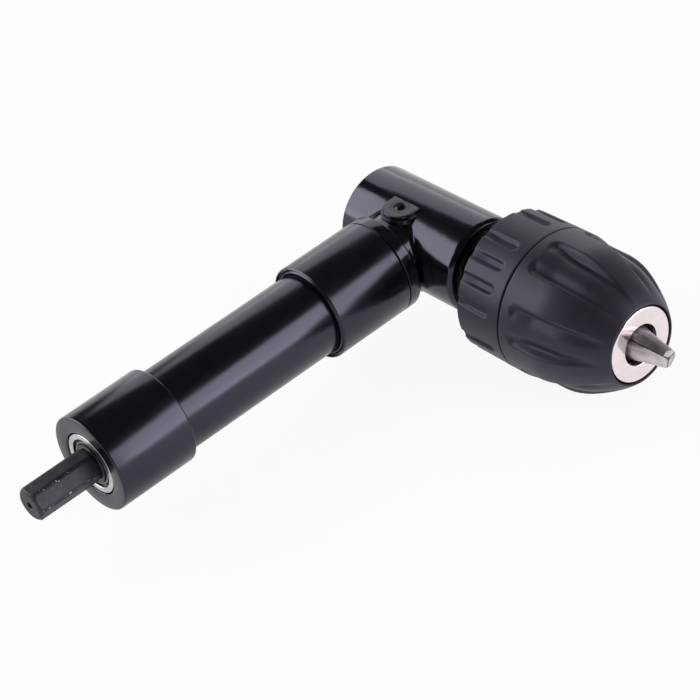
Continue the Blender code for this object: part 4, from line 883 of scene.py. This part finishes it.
makeSpindleCollar()
makeRearRing()
makeGripSleeve()
makeNoseRing()
makeJaws()
print("chuck made")

# finishes for the CAD nodes that stay
insideFinishes = {
    "chuck_body": chuckSteel, "chuck_screw": collarSteel, "output_spindle": collarSteel,
    "pinion_gear": gearSteel, "output_gear": gearSteel, "jaw_nut": gearSteel, "nut_shell": springSteel,
    "retaining_ring": springSteel, "spindle_bush": bushBronze, "rear_bearing_inner_shield": shieldSteel,
    "spindle_bearing_inner_shield": shieldSteel, "spindle_bearing_outer_shield": shieldSteel,
}
for nodeName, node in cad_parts.items():
    if not node.hide_render:
        node.data.materials.clear()
        node.data.materials.append(insideFinishes.get(nodeName, bearingSteel))
print("CAD nodes finished")

# floor, light and camera
# floorShade, shadeFrom and shadeTo set the floor's painted shade, which only reflections see
studio = {
    "floorSize": 4.0, "floorWhite": "f4f4f4", "floorGlow": 0.92, "roomDiffuse": 0.36, "roomDark": 0.03,
    "horizonLow": 0.1, "horizonHigh": 0.35, "floorShade": 0.35, "shadeFrom": -0.05, "shadeTo": 0.06,
}
lamps = {
    "leftSoftbox": {"place": (-0.64, -0.42, 0.42), "size": (0.8, 0.66), "power": 5.8},
    "rightSoftbox": {"place": (0.68, 0.44, 0.32), "size": (0.75, 0.6), "power": 5.0},
    "rearSoftbox": {"place": (-0.60, 0.60, 0.44), "size": (0.75, 0.6), "power": 1.9},
}


def makeFloor():
    # white paper that takes the object's soft shadow; reflections see it with a painted shade, darker
    # towards the shank
    clearSelection()
    bpy.ops.mesh.primitive_plane_add(size=studio["floorSize"], location=(0, 0, -0.2 * mm))
    floor = bpy.context.active_object
    floor.name = "paleFloor"
    material, tree, shader = newMaterial("paleSeamlessPaper")
    shader.inputs["Base Color"].default_value = linearColour(studio["floorWhite"])
    shader.inputs["Roughness"].default_value = 0.9
    shader.inputs["Specular IOR Level"].default_value = 0.0
    path = addNode(tree, "ShaderNodeLightPath")
    glow = addNode(tree, "ShaderNodeEmission", Color=(1, 1, 1, 1), Strength=1.0)
    direct = addNode(tree, "ShaderNodeMath", [(0, path, "Is Camera Ray"),
                                              (1, path, "Is Transmission Ray")],
                     operation="MAXIMUM")
    place = addNode(tree, "ShaderNodeTexCoord")
    spot = addNode(tree, "ShaderNodeSeparateXYZ", [("Vector", place, "Object")])
    # painted shade seen only in reflections: the glow falls from floorGlow to floorShade as x + y drops
    # towards the shank
    towards = addNode(tree, "ShaderNodeMath", [(0, spot, "X"), (1, spot, "Y")], operation="ADD")
    mirrored = addNode(tree, "ShaderNodeMapRange", [("Value", towards, "Value")])
    mirrored.inputs["From Min"].default_value = studio["shadeFrom"]
    mirrored.inputs["From Max"].default_value = studio["shadeTo"]
    mirrored.inputs["To Min"].default_value = studio["floorShade"]
    mirrored.inputs["To Max"].default_value = studio["floorGlow"]
    bounced = addNode(tree, "ShaderNodeMapRange", [("Value", path, "Is Glossy Ray"),
                                                   ("To Max", mirrored, "Result")])
    share = addNode(tree, "ShaderNodeMapRange", [("Value", direct, "Value"),
                                                 ("To Min", bounced, "Result")])
    share.inputs["To Max"].default_value = studio["floorGlow"]
    mix = addNode(tree, "ShaderNodeMixShader", [(0, share, "Result"), (1, shader, "BSDF"),
                                                (2, glow, "Emission")])
    tree.links.new(mix.outputs["Shader"], tree.nodes["Material Output"].inputs["Surface"])
    floor.data.materials.append(material)


def makeRoom():
    # the camera sees white; reflections see white walls low down and a dark ceiling above them
    world = bpy.data.worlds.new("softRoom")
    bpy.context.scene.world = world
    world.use_nodes = True
    tree = world.node_tree
    path = addNode(tree, "ShaderNodeLightPath")
    place = addNode(tree, "ShaderNodeTexCoord")
    height = addNode(tree, "ShaderNodeSeparateXYZ", [("Vector", place, "Generated")])
    walls = addNode(tree, "ShaderNodeMapRange", [("Value", height, "Z")],
                    interpolation_type="SMOOTHSTEP")
    walls.inputs["From Min"].default_value = studio["horizonLow"]
    walls.inputs["From Max"].default_value = studio["horizonHigh"]
    walls.inputs["To Min"].default_value = 1.0
    walls.inputs["To Max"].default_value = studio["roomDark"]
    mirrored = addNode(tree, "ShaderNodeMapRange", [("Value", path, "Is Glossy Ray"),
                                                    ("To Max", walls, "Result")])
    mirrored.inputs["To Min"].default_value = studio["roomDiffuse"]
    direct = addNode(tree, "ShaderNodeMath", [(0, path, "Is Camera Ray"),
                                              (1, path, "Is Transmission Ray")],
                     operation="MAXIMUM")
    level = addNode(tree, "ShaderNodeMapRange", [("Value", direct, "Value"),
                                                 ("To Min", mirrored, "Result")])
    level.inputs["To Max"].default_value = 1.0
    background = tree.nodes["Background"]
    background.inputs["Color"].default_value = (1, 1, 1, 1)
    tree.links.new(level.outputs["Result"], background.inputs["Strength"])


def makeLamps():
    for name, lamp in lamps.items():
        light = bpy.data.lights.new(name, "AREA")
        light.shape = "RECTANGLE"
        light.size, light.size_y = lamp["size"]
        light.energy = lamp["power"]
        holder = bpy.data.objects.new(name, light)
        bpy.context.scene.collection.objects.link(holder)
        holder.location = lamp["place"]
        aim = Vector((0, 0, 0.02)) - Vector(lamp["place"])
        holder.rotation_euler = aim.to_track_quat("-Z", "Y").to_euler()


# the photograph's camera, fitted to it: mm from the crossing of the axes
viewpoint = {
    "place": (442.38, -338.87, 399.38), "right": (0.6646, 0.7292, -0.163),
    "up": (-0.3716, 0.5118, 0.7746), "back": (0.6483, -0.4542, 0.6111), "lens": 142.31,
}


def makeCamera():
    camera = bpy.data.cameras.new("photoCamera")
    camera.sensor_width = 36
    camera.lens = viewpoint["lens"]
    camera.clip_start, camera.clip_end = 0.01, 20
    holder = bpy.data.objects.new("photoCamera", camera)
    bpy.context.scene.collection.objects.link(holder)
    axes = [Vector(viewpoint[key]) for key in ("right", "up", "back")]
    turn = Matrix((axes[0], axes[1], axes[2])).transposed().to_4x4()
    holder.matrix_world = Matrix.Translation(crossing + Vector(viewpoint["place"]) * mm) @ turn
    bpy.context.scene.camera = holder


makeFloor()
makeRoom()
makeLamps()
makeCamera()
bpy.context.scene.view_settings.view_transform = "Standard"
clearSelection()
print("studio and camera made")
